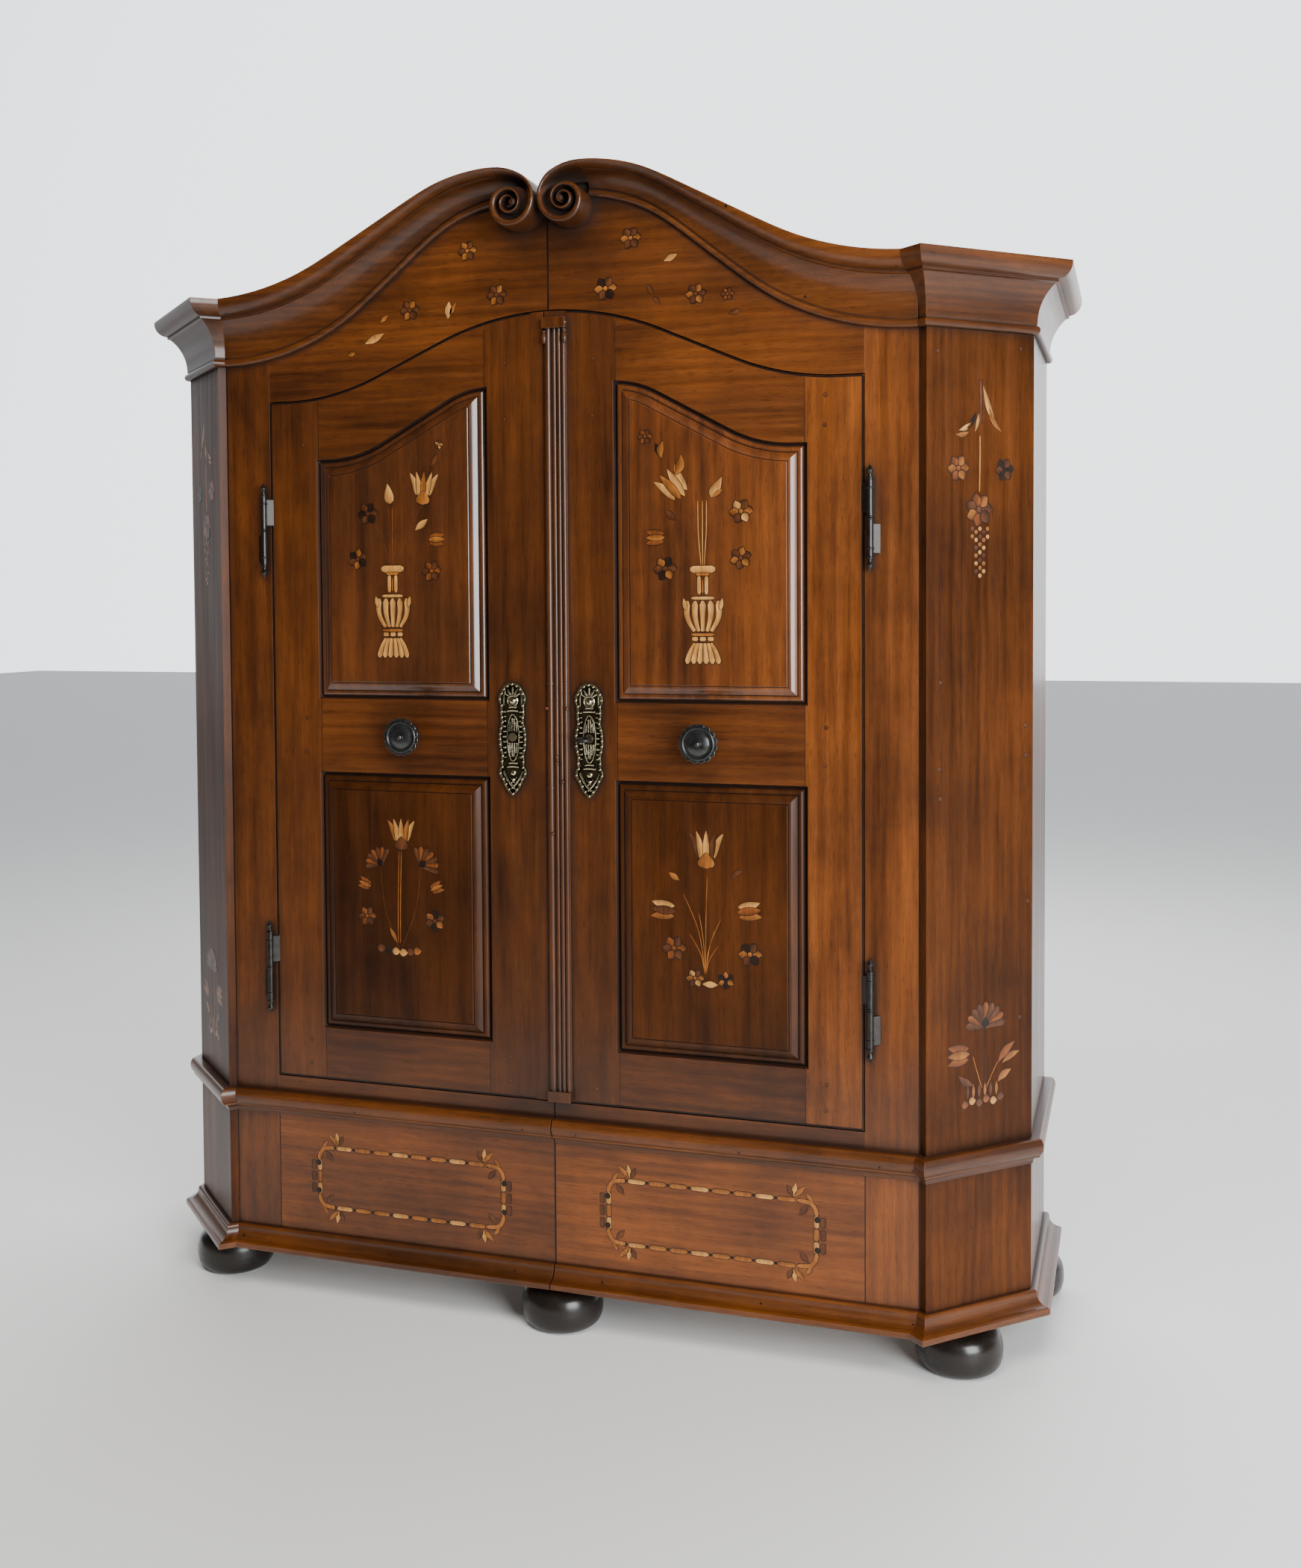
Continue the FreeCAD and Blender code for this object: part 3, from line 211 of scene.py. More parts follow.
def walnut_group():
    """Growth rings round the grain axis, clouds, fibres, pores, grime and wormholes."""
    colour = "NodeSocketColor"
    tree, given, result = group(
        "walnut_figure",
        [("Turn", "NodeSocketVector", (0, 0, 0)), ("Shift", "NodeSocketVector", (0, 0, 0)),
         ("Follow Run", "NodeSocketFloat", 0.0), ("Light", colour, (0.3, 0.14, 0.06, 1)),
         ("Dark", colour, (0.08, 0.03, 0.012, 1)), ("Ring Scale", "NodeSocketFloat", 16.0),
         ("Wave", "NodeSocketFloat", 5.0), ("Run Limit", "NodeSocketFloat", 0.7)],
        [("Colour", colour), ("Sheen", "NodeSocketFloat"), ("Relief", "NodeSocketFloat")])
    coordinates = node(tree, "TexCoord")
    place = coordinates.outputs["Object"]
    turned = node(tree, "Mapping", {"Vector": place, "Rotation": given["Turn"], "Location": given["Shift"]})

    run = node(tree, "VectorMath", {0: (0, 0, 1), 1: coordinates.outputs["Normal"]},
               operation="CROSS_PRODUCT")
    run = node(tree, "VectorMath", {0: run.outputs[0]}, operation="NORMALIZE")
    out = node(tree, "VectorMath", {0: run.outputs[0], 1: (0, 0, 1)}, operation="CROSS_PRODUCT")
    along = node(tree, "VectorMath", {0: place, 1: run.outputs[0]}, operation="DOT_PRODUCT")
    depth = node(tree, "VectorMath", {0: place, 1: out.outputs[0]}, operation="DOT_PRODUCT")
    parts = node(tree, "SeparateXYZ", {"Vector": place})
    followed = node(tree, "CombineXYZ", {0: depth.outputs["Value"], 1: parts.outputs[2],
                                         2: along.outputs["Value"]})
    front = node(tree, "CombineXYZ", {0: parts.outputs[1], 1: parts.outputs[2], 2: parts.outputs[0]})
    reach = node(tree, "Math", {0: parts.outputs[0]}, operation="ABSOLUTE")
    beyond = node(tree, "Math", {0: reach.outputs[0], 1: given["Run Limit"]}, operation="GREATER_THAN")
    by_run = node(tree, "Mix", {0: beyond.outputs[0], 4: front.outputs[0], 5: followed.outputs[0]},
                  data_type="VECTOR")
    chosen = node(tree, "Mix", {0: given["Follow Run"], 4: turned.outputs[0], 5: by_run.outputs[1]},
                  data_type="VECTOR").outputs[1]

    slow = node(tree, "Mapping", {"Vector": chosen, "Scale": (1.0, 1.0, 0.22)}).outputs[0]
    rings = node(tree, "TexWave", {"Vector": slow, "Scale": given["Ring Scale"], "Distortion": given["Wave"],
                                   "Detail": 3.0, "Detail Scale": 1.6, "Detail Roughness": 0.6},
                 wave_type="RINGS", rings_direction="Z", wave_profile="SIN")
    clouds = node(tree, "TexNoise", {"Vector": slow, "Scale": 5.5, "Detail": 5.0, "Roughness": 0.62,
                                     "Distortion": 0.8})
    fibre_space = node(tree, "Mapping", {"Vector": chosen, "Scale": (1.0, 1.0, 0.035)}).outputs[0]
    fibres = node(tree, "TexNoise", {"Vector": fibre_space, "Scale": 260.0, "Detail": 3.0, "Roughness": 0.7})
    streaks = node(tree, "TexNoise", {"Vector": fibre_space, "Scale": 55.0, "Detail": 3.0, "Roughness": 0.6})
    pore_space = node(tree, "Mapping", {"Vector": chosen, "Scale": (1.0, 1.0, 0.07)}).outputs[0]
    pores = node(tree, "TexNoise", {"Vector": pore_space, "Scale": 620.0, "Detail": 1.0})

    tone = node(tree, "Math", {0: rings.outputs["Fac"], 1: 0.10}, operation="MULTIPLY")
    tone = node(tree, "Math", {0: clouds.outputs["Fac"], 1: 0.95, 2: tone.outputs[0]},
                operation="MULTIPLY_ADD")
    tone = node(tree, "Math", {0: streaks.outputs["Fac"], 1: 0.45, 2: tone.outputs[0]},
                operation="MULTIPLY_ADD")
    level = node(tree, "MapRange", {"Value": tone.outputs[0], 1: 0.45, 2: 1.05})
    body = blend(tree, level.outputs[0], given["Dark"], given["Light"])
    fibre_tone = ramp(tree, fibres.outputs["Fac"], [(0.30, 0.74), (0.62, 1.0)])
    body = blend(tree, 1.0, body, fibre_tone, "MULTIPLY")
    pore_tone = ramp(tree, pores.outputs["Fac"], [(0.30, 0.55), (0.40, 1.0)])
    body = blend(tree, 0.8, body, pore_tone, "MULTIPLY")
    grime = node(tree, "TexNoise", {"Vector": place, "Scale": 3.1, "Detail": 5.0, "Roughness": 0.6})
    body = blend(tree, 1.0, body, ramp(tree, grime.outputs["Fac"], [(0.34, 0.50), (0.60, 1.0)]), "MULTIPLY")
    worms = node(tree, "TexVoronoi", {"Vector": place, "Scale": 95.0})
    hole = node(tree, "MapRange", {"Value": worms.outputs["Distance"], 1: 0.11, 2: 0.07})
    eaten = node(tree, "MapRange", {"Value": grime.outputs["Fac"], 1: 0.46, 2: 0.38})
    hole = node(tree, "Math", {0: hole.outputs[0], 1: eaten.outputs[0]}, operation="MULTIPLY")
    body = blend(tree, hole.outputs[0], body, (0.008, 0.004, 0.002, 1))
    tree.links.new(body, result["Colour"])
    sheen = node(tree, "MapRange", {"Value": streaks.outputs["Fac"], 1: 0.3, 2: 0.7, 3: 0.34, 4: 0.46})
    tree.links.new(sheen.outputs[0], result["Sheen"])
    relief = node(tree, "Math", {0: fibres.outputs["Fac"], 1: pore_tone}, operation="MULTIPLY")
    tree.links.new(relief.outputs[0], result["Relief"])
    return tree


walnut_figure = walnut_group()
handling_and_shade = handling_group()
grain_up = (0.0, 0.0, 0.0)
grain_across = (0.0, math.radians(90), 0.0)


def walnut(name, turn, shift, light, dark, tone=1.0, follow=0.0, rings=16.0, coat=0.3, rub=0.5,
           arris=0.0015, gloss=0.35):
    """Polished walnut with its own piece of the log, lighter or darker by its tone; a lighter tone on a
    right-hand copy is painted light from the window.
    """
    light, dark = ([c * tone for c in shade] for shade in (light, dark))
    material, tree, shader = new_finish(name)
    figure = node(tree, "Group", node_tree=walnut_figure)
    settings = {"Turn": turn, "Shift": shift, "Follow Run": follow,
                "Light": (*light, 1), "Dark": (*dark, 1), "Ring Scale": rings}
    for key, value in settings.items():
        figure.inputs[key].default_value = value
    wear = node(tree, "Group", node_tree=handling_and_shade)
    wear.inputs["Arris"].default_value = arris
    wear.inputs["Quirk"].default_value = 0.032
    worn = [min(1.0, c * 2.2 + 0.01) for c in light]
    rubbed = node(tree, "Math", {0: wear.outputs["Rubbed"], 1: rub}, operation="MULTIPLY")
    colour = blend(tree, rubbed.outputs[0], figure.outputs["Colour"], (*worn, 1))
    # Quirks and corners blended towards near-black: dirt and old polish, and painted shade.
    dirt_and_shade = node(tree, "Math", {0: wear.outputs["Dirt_And_Shade"], 1: 0.92}, operation="MULTIPLY")
    colour = blend(tree, dirt_and_shade.outputs[0], colour, (0.012, 0.006, 0.004, 1))
    tree.links.new(colour, shader.inputs["Base Color"])
    rough = node(tree, "Math", {0: wear.outputs["Dirt_And_Shade"], 1: 0.25, 2: figure.outputs["Sheen"]},
                 operation="MULTIPLY_ADD")
    tree.links.new(rough.outputs[0], shader.inputs["Roughness"])
    bump = node(tree, "Bump", {"Height": figure.outputs["Relief"], "Normal": wear.outputs["Eased"],
                               "Strength": 0.12, "Distance": 0.0006})
    tree.links.new(bump.outputs[0], shader.inputs["Normal"])
    shader.inputs["Coat Weight"].default_value = coat
    shader.inputs["Coat Roughness"].default_value = 0.16
    shader.inputs["Specular IOR Level"].default_value = gloss
    return material


def dress(piece, material):
    """Give a piece of the frame its finish."""
    slots = node_of[piece].data.materials
    slots.clear()
    slots.append(material)


walnut_light, walnut_dark = (0.195, 0.054, 0.0078), (0.036, 0.0092, 0.0016)
# Grain and left and right tone of each board; where the right tone is the lighter, it is painted light from
# the window on the right.
board_grain_and_painted_light_tones = [
    ("corner_board", grain_up, (0.78, 0.73)),
    ("base_corner_board", grain_up, (0.78, 0.73)),
    ("side", grain_up, (0.90, 0.90)),
    ("stile", grain_up, (0.92, 1.25)),
    ("base_stile", grain_up, (0.90, 1.25)),
    ("base_board", grain_across, (1.35, 1.55)),
    ("frieze", grain_across, (0.92, 0.92)),
]
for place, (board, turn, tones) in enumerate(board_grain_and_painted_light_tones):
    for side, name in enumerate((board + "_left", board + "_right")):
        shift = (0.31 + 0.17 * place, 0.43 + 0.29 * side, 0.9 * place + 0.5 * side)
        dull = "corner_board" in board
        dress(name, walnut(name, turn, shift, walnut_light, walnut_dark, tones[side],
                           coat=0.03 if dull else 0.3, gloss=0.14 if dull else 0.35))
for name in ("sills", "head_rails"):
    dress(name, walnut(name, grain_across, (0.2, 0.5, 0.1), walnut_light, walnut_dark, 0.8))


# The mouldings: cornice, waist and base, run with planes in walnut, glued and
# nailed round the case, and polished brighter than the boards. The scrolled
# ends are carved from thicker pieces.
moulding_light, moulding_dark = (0.165, 0.047, 0.0065), (0.034, 0.009, 0.0016)
# Left and right copy of each moulding; the right copy is painted lighter, as lit by the window on the right.
for place, name in enumerate(("cornice", "waist_moulding", "base_moulding", "volute")):
    for side, tone in (("_left", 1.1), ("_right", 1.25)):
        follow = 0.0 if name == "volute" else 1.0
        dress(name + side, walnut(name + side, grain_across, (0.4, 0.2 * place, 0.3), moulding_light,
                                  moulding_dark, tone, follow=follow, rings=22.0, coat=0.35, rub=0.7))


# The volutes: carved from the solid where the crown moulding rolls down to the
# middle. The rounded band winds inward for two and a quarter turns, with a
# deep channel between its turns and a round eye at the end.
crest_x, crest_z = 0.086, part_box("volute_right")[1].z
shoulder_radius, shoulder_turn = 0.1134, 30.0
roll_radius, scroll_radius = 0.0536, 0.049
scroll_shrink, scroll_quarters, scroll_inner = 0.83, 9, 0.73
crown_band, band_round = 0.028, 0.0065
bed_depth, eye_radius = 0.048, 0.0075
roll_steps, step_angle, quarter_steps = 12, 7.5, 8
roll_start, roll_end, ring_end = 4, 13, 36
band_points = 15
bed_overlap, eye_step, eye_edge = 0.004, 0.004, 0.001
end_reach, least_fall, least_radius = 0.0002, 1e-6, 0.00002
volute_front, volute_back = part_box("volute_right")[0].y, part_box("volute_right")[1].y


def stitch(mesh, rows, number=0):
    """Skin round rows of corners, with its ends capped."""
    faces = []
    for low, high in zip(rows, rows[1:]):
        for k in range(len(low)):
            j = (k + 1) % len(low)
            faces.append(mesh.faces.new((low[k], low[j], high[j], high[k])))
    faces.append(mesh.faces.new(rows[0][::-1]))
    faces.append(mesh.faces.new(rows[-1]))
    for face in faces:
        face.smooth = True
        face.material_index = number
    return faces


def circle(count):
    """Angles of even steps round a circle."""
    return [2 * math.pi * k / count for k in range(count)]


def turned(mesh, middle, axis, outline, sides=24):
    """Turned form about an axis, by an outline of radius and height."""
    axis = Vector(axis).normalized()
    aside = axis.orthogonal().normalized()
    over = axis.cross(aside)
    rows = []
    for radius, height in outline:
        centre, reach = middle + axis * height, max(radius, least_radius)
        rows.append([mesh.verts.new(centre + reach * (aside * math.cos(a) + over * math.sin(a)))
                     for a in circle(sides)])
    return stitch(mesh, rows)


def settle(name, mesh, materials, body, sharp=40):
    """Make an object of a mesh, with the piece's finish, and let it ride its body."""
    bmesh.ops.recalc_face_normals(mesh, faces=mesh.faces)
    data = bpy.data.meshes.new(name)
    mesh.to_mesh(data)
    mesh.free()
    for material in materials:
        data.materials.append(material)
    if sharp:
        data.set_sharp_from_angle(angle=math.radians(sharp))
    piece = bpy.data.objects.new(name, data)
    bpy.context.scene.collection.objects.link(piece)
    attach(piece, body)
    return piece


def around(centre, radius, angle):
    """Place on a circle, by an angle in degrees."""
    a = math.radians(angle)
    return Vector((centre[0] + radius * math.cos(a), centre[1] + radius * math.sin(a)))


def scroll_edges():
    """Outer and inner edge of the band at each station from the crest to the eye."""
    shoulder = Vector((crest_x, crest_z - shoulder_radius))
    roll = around(shoulder, shoulder_radius - roll_radius, 90 + shoulder_turn)
    first = around(roll, roll_radius - scroll_radius, 180)
    step = scroll_radius * (1 - scroll_shrink) / (1 + scroll_shrink ** 2)
    pole = first + Vector((-step, -step * scroll_shrink))
    throat = pole + (around(first, scroll_radius, 180) - pole) * scroll_inner
    last_band = (throat - around(roll, roll_radius, 180)).length
    stations = []
    for i in range(roll_steps + 1):
        angle = 90 + step_angle * i
        centre, radius = (shoulder, shoulder_radius) if angle < 90 + shoulder_turn else (roll, roll_radius)
        band = crown_band + (last_band - crown_band) * i / roll_steps
        stations.append((around(centre, radius, angle), around(centre, radius - band, angle)))
    centre, radius, angle = first, scroll_radius, 180
    for _ in range(scroll_quarters):
        for i in range(1, quarter_steps + 1):
            outer = around(centre, radius, angle + 90 * i / quarter_steps)
            stations.append((outer, pole + (outer - pole) * scroll_inner))
        angle += 90
        smaller = radius * scroll_shrink
        centre = around(centre, radius - smaller, angle)
        radius = smaller
    return stations, pole


def crest_section():
    """Front of the cornice's end, as heights and depths, that the band takes over."""
    corners = [c.co for c in node_of["cornice_right"].data.vertices if abs(c.co.x - crest_x) < end_reach]
    front = {}
    for place in corners:
        level = round(place.z, 4)
        front[level] = min(front.get(level, place.y), place.y)
    return sorted(front.items(), reverse=True)


def depth_at(section, level):
    """Depth of the section at a height, between the two corners about it."""
    for (high, near), (low, far) in zip(section, section[1:]):
        if low <= level <= high:
            return near + (far - near) * (high - level) / max(high - low, least_fall)
    return section[-1][1]


section = crest_section()
for side, name in ((-1, "left"), (1, "right")):
    mesh = bmesh.new()
    stations, pole = scroll_edges()
    rows = []
    for outer, inner in stations:
        row = []
        rolled = min(1.0, len(rows) / roll_end)
        rolled = rolled * rolled * (3 - 2 * rolled)
        for place in range(band_points):
            across = place / (band_points - 1)
            bow = volute_front + band_round * (1 - math.sqrt(max(0.0, 1 - (2 * across - 1) ** 2)))
            taken = depth_at(section, crest_z - crown_band * across)
            point = outer + (inner - outer) * across
            row.append(mesh.verts.new((side * point.x, taken + (bow - taken) * rolled, point.y)))
        for point in (inner, outer):
            row.append(mesh.verts.new((side * point.x, volute_back, point.y)))
        rows.append(row)
    stitch(mesh, rows)
    rim = [inner for outer, inner in stations[roll_start:roll_end:2]]
    rim += [outer for outer, inner in stations[roll_end:ring_end:3]]
    bed = [[mesh.verts.new((side * point.x, y, point.y)) for point in rim]
           for y in (volute_back, volute_back - bed_depth)]
    stitch(mesh, bed)
    centre = Vector((side * pole.x, volute_back, pole.y))
    eye_front = volute_back - volute_front - eye_step
    eye = [(eye_radius, bed_depth - bed_overlap), (eye_radius, eye_front - eye_step),
           (eye_radius * 0.8, eye_front - eye_edge), (eye_radius * 0.4, eye_front)]
    turned(mesh, centre, (0, -1, 0), eye)
    finish = walnut(name + "_carving", grain_across, (0.1, 0.6, 0.3), moulding_light, moulding_dark,
                    coat=0.45, rub=0.8)
    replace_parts(settle(name + "_volute_carving", mesh, [finish], "carcass"), "volute_" + name)


# The doors: framed in walnut with through-tenoned and pegged rails, and a
# fielded panel held in grooves above and below the lock rail.
# Grain and left and right tone of each door part; the lighter right-hand tones are painted light from the
# window on the right.
door_part_grain_and_painted_light_tones = [
    ("inner_stile", grain_up, (0.70, 0.70)),
    ("outer_stile", grain_up, (0.88, 1.60)),
    ("top_rail", grain_across, (0.85, 0.95)),
    ("middle_rail", grain_across, (0.86, 1.02)),
    ("bottom_rail", grain_across, (0.75, 0.95)),
]
facing_front, facing_behind = 0.3, 0.6


def bare_behind(material):
    """Leave the face that looks into the cupboard without polish."""
    tree = material.node_tree
    coat = tree.nodes["Principled BSDF"].inputs["Coat Weight"]
    facing = node(tree, "SeparateXYZ", {"Vector": node(tree, "TexCoord").outputs["Normal"]})
    polish = node(tree, "MapRange", {"Value": facing.outputs[1], 1: facing_front, 2: facing_behind,
                                     3: coat.default_value, 4: 0.0})
    tree.links.new(polish.outputs[0], coat)
    return material


for side, name in enumerate(("left", "right")):
    for place, (part, turn, tones) in enumerate(door_part_grain_and_painted_light_tones):
        shift = (0.23 + 0.13 * place, 0.51 + 0.37 * side, 0.7 * place)
        piece = name + "_door_" + part
        dress(piece, bare_behind(walnut(piece, turn, shift, walnut_light, walnut_dark, tones[side])))
dress("astragal", walnut("astragal", grain_up, (0.3, 0.3, 0.2), moulding_light, moulding_dark,
                         coat=0.4, rub=0.8))


# The panels: each planed from one wide board, with a round and a quirk at the
# edge, then a long slope that catches the window, and a small step up to the
# flat field. A tongue behind them sits loose in the grooves of the frame.
# Left and right tone, coat and gloss of each panel; the right tones are lighter as painted light from the
# window on the right.
panel_painted_light_tones_and_polish = {"upper_panel": (0.80, 1.45, 0.9, 0.35), "lower_panel": (0.47, 0.56, 0.12, 0.2)}
panel_crest, panel_foot = (0.125, 1.817), (0.470, 1.689)
panel_steepness, panel_share = 1.400, 0.4215
tongue = 0.0097
arch_steps, slope_reach = 40, 0.001
panel_section = [
    (-9.7, 20.0), (-9.7, 10.0), (1.5, 10.0), (1.5, 6.6), (1.9, 4.4), (3.2, 2.2), (5.2, 0.6), (7.8, -0.4),
    (10.6, -0.7), (12.0, -0.2), (12.5, 1.2), (13.6, 1.2), (13.9, -2.2), (16.4, -4.2), (19.4, -6.3),
    (22.4, -8.1), (25.4, -9.5), (28.2, -10.5), (28.5, -9.3), (29.8, -9.3), (30.0, -11.2), (31.0, -12.0),
]


def swan(x, crest, foot, steepness, share):
    """Height of an S line: an arc over the crest, a ramp, and an arc to the foot."""
    run, fall = foot[0] - crest[0], crest[1] - foot[1]
    slope = math.atan2(fall, run) * steepness
    sine, cosine = math.sin(slope), math.cos(slope)
    both = (run * sine - fall * cosine) / (1 - cosine)
    over, under = both * share, both * (1 - share)
    past = min(max(x - crest[0], 0.0), run)
    if past < over * sine:
        return crest[1] - over + math.sqrt(over ** 2 - past ** 2)
    if run - past > under * sine:
        return crest[1] - over * (1 - cosine) - (past - over * sine) * math.tan(slope)
    return foot[1] + under - math.sqrt(under ** 2 - (run - past) ** 2)


def panel_line(near, far, low, high, inset, arched):
    """Outline of a panel moved inward all round, as places across and up."""
    near, far, low = near + inset, far - inset, low + inset
    if not arched:
        return [(near, low), (far, low), (far, high - inset), (near, high - inset)]
    line = [(near, low), (far, low)]
    for step in range(arch_steps + 1):
        x = far + (near - far) * step / arch_steps
        before, at, after = (swan(x + d, panel_crest, panel_foot, panel_steepness, panel_share)
                             for d in (-slope_reach, 0.0, slope_reach))
        line.append((x, at - inset * math.hypot(1, (after - before) / (2 * slope_reach))))
    return line


for side, name in ((-1, "left"), (1, "right")):
    for place, (part, tones) in enumerate(panel_painted_light_tones_and_polish.items()):
        piece = name + "_door_" + part
        low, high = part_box(piece)
        near, far = (min(abs(low.x), abs(high.x)) + tongue, max(abs(low.x), abs(high.x)) - tongue)
        mesh = bmesh.new()
        rows = []
        arched = part == "upper_panel"
        for inset, depth in panel_section:
            line = panel_line(near, far, low.z + tongue, high.z - tongue, inset / 1000, arched)
            rows.append([mesh.verts.new((side * x, front_y + depth / 1000, z)) for x, z in line])
        stitch(mesh, rows)
        shift = (0.12 + 0.185 * (side + 1), 0.35 + 0.2 * place, 0.4 * place)
        finish = walnut(piece, grain_up, shift, walnut_light, walnut_dark, tones[(side + 1) // 2],
                        rings=10.0, coat=tones[2], arris=0.0012, gloss=tones[3])
        panel = settle(name + "_fielded_" + part, mesh, [bare_behind(finish)], "door_" + name, sharp=28)
        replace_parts(panel, piece)


# The marquetry: slips of maple, pear, plum, cherry and dark stained wood, sawn
# out, singed along one edge in hot sand, let into the walnut and polished
# level with it, so that they stand only a hair above the ground.
hair = 0.00012
slip_step = 0.00002
slip_depth = 0.0004
slip_stations, string_steps = 9, 6
least_half = 0.12


def slip_wood(name, light, dark):
    """One of the inlaid woods: fine fibres, singed where the slip says so."""
    material, tree, shader = new_finish(name)
    place = node(tree, "TexCoord").outputs["Object"]
    stretched = node(tree, "Mapping", {"Vector": place, "Scale": (1.0, 1.0, 0.12)}).outputs[0]
    fibres = node(tree, "TexNoise", {"Vector": stretched, "Scale": 240.0, "Detail": 3.0})
    clouds = node(tree, "TexNoise", {"Vector": place, "Scale": 38.0, "Detail": 2.0})
    tone = node(tree, "Math", {0: fibres.outputs["Fac"], 1: clouds.outputs["Fac"]}, operation="ADD")
    level = node(tree, "MapRange", {"Value": tone.outputs[0], 1: 0.75, 2: 1.25})
    body = blend(tree, level.outputs[0], (*dark, 1), (*light, 1))
    singe = node(tree, "Attribute", attribute_name="singe", attribute_type="GEOMETRY")
    body = blend(tree, singe.outputs["Fac"], body, (0.022, 0.009, 0.003, 1))
    tree.links.new(body, shader.inputs["Base Color"])
    rough = node(tree, "MapRange", {"Value": fibres.outputs["Fac"], 3: 0.34, 4: 0.48})
    tree.links.new(rough.outputs[0], shader.inputs["Roughness"])
    bump = node(tree, "Bump", {"Height": fibres.outputs["Fac"], "Strength": 0.1, "Distance": 0.0004})
    tree.links.new(bump.outputs[0], shader.inputs["Normal"])
    shader.inputs["Coat Weight"].default_value = 0.12
    shader.inputs["Coat Roughness"].default_value = 0.2
    shader.inputs["Specular IOR Level"].default_value = 0.3
    return material


woods = {
    "maple": slip_wood("maple_slips", (0.66, 0.32, 0.085), (0.38, 0.155, 0.034)),
    "pear": slip_wood("pear_slips", (0.36, 0.125, 0.022), (0.20, 0.062, 0.011)),
    "plum": slip_wood("plum_slips", (0.27, 0.074, 0.013), (0.135, 0.036, 0.007)),
    "cherry": slip_wood("cherry_slips", (0.13, 0.042, 0.013), (0.065, 0.019, 0.006)),
    "bog_oak": slip_wood("stained_slips", (0.014, 0.007, 0.004), (0.006, 0.003, 0.002)),
}
wood_order = list(woods)


def petal_form(share):
    """Blunt petal, fullest past its middle."""
    return math.sin(math.pi * share ** 0.85) ** 0.75


def leaf_form(share):
    """Leaf, pointed at both ends."""
    return math.sin(math.pi * share) ** 1.1


def bud_form(share):
    """Bud, fullest near its foot."""
    return math.sin(math.pi * share ** 0.6) ** 0.9


def bar_form(share):
    """Bar with eased ends."""
    return min(1.0, 6 * share + 0.45, 6 * (1 - share) + 0.45)


def flare_form(share):
    """Rib that widens to a cut end."""
    return min(0.5 + 0.5 * share, 5 * (1 - share) + 0.35)


def disc_form(share):
    """Half of a circle."""
    return math.sqrt(max(0.0, 1 - (2 * share - 1) ** 2))


def even_form(share):
    """Even breadth."""
    return 1.0


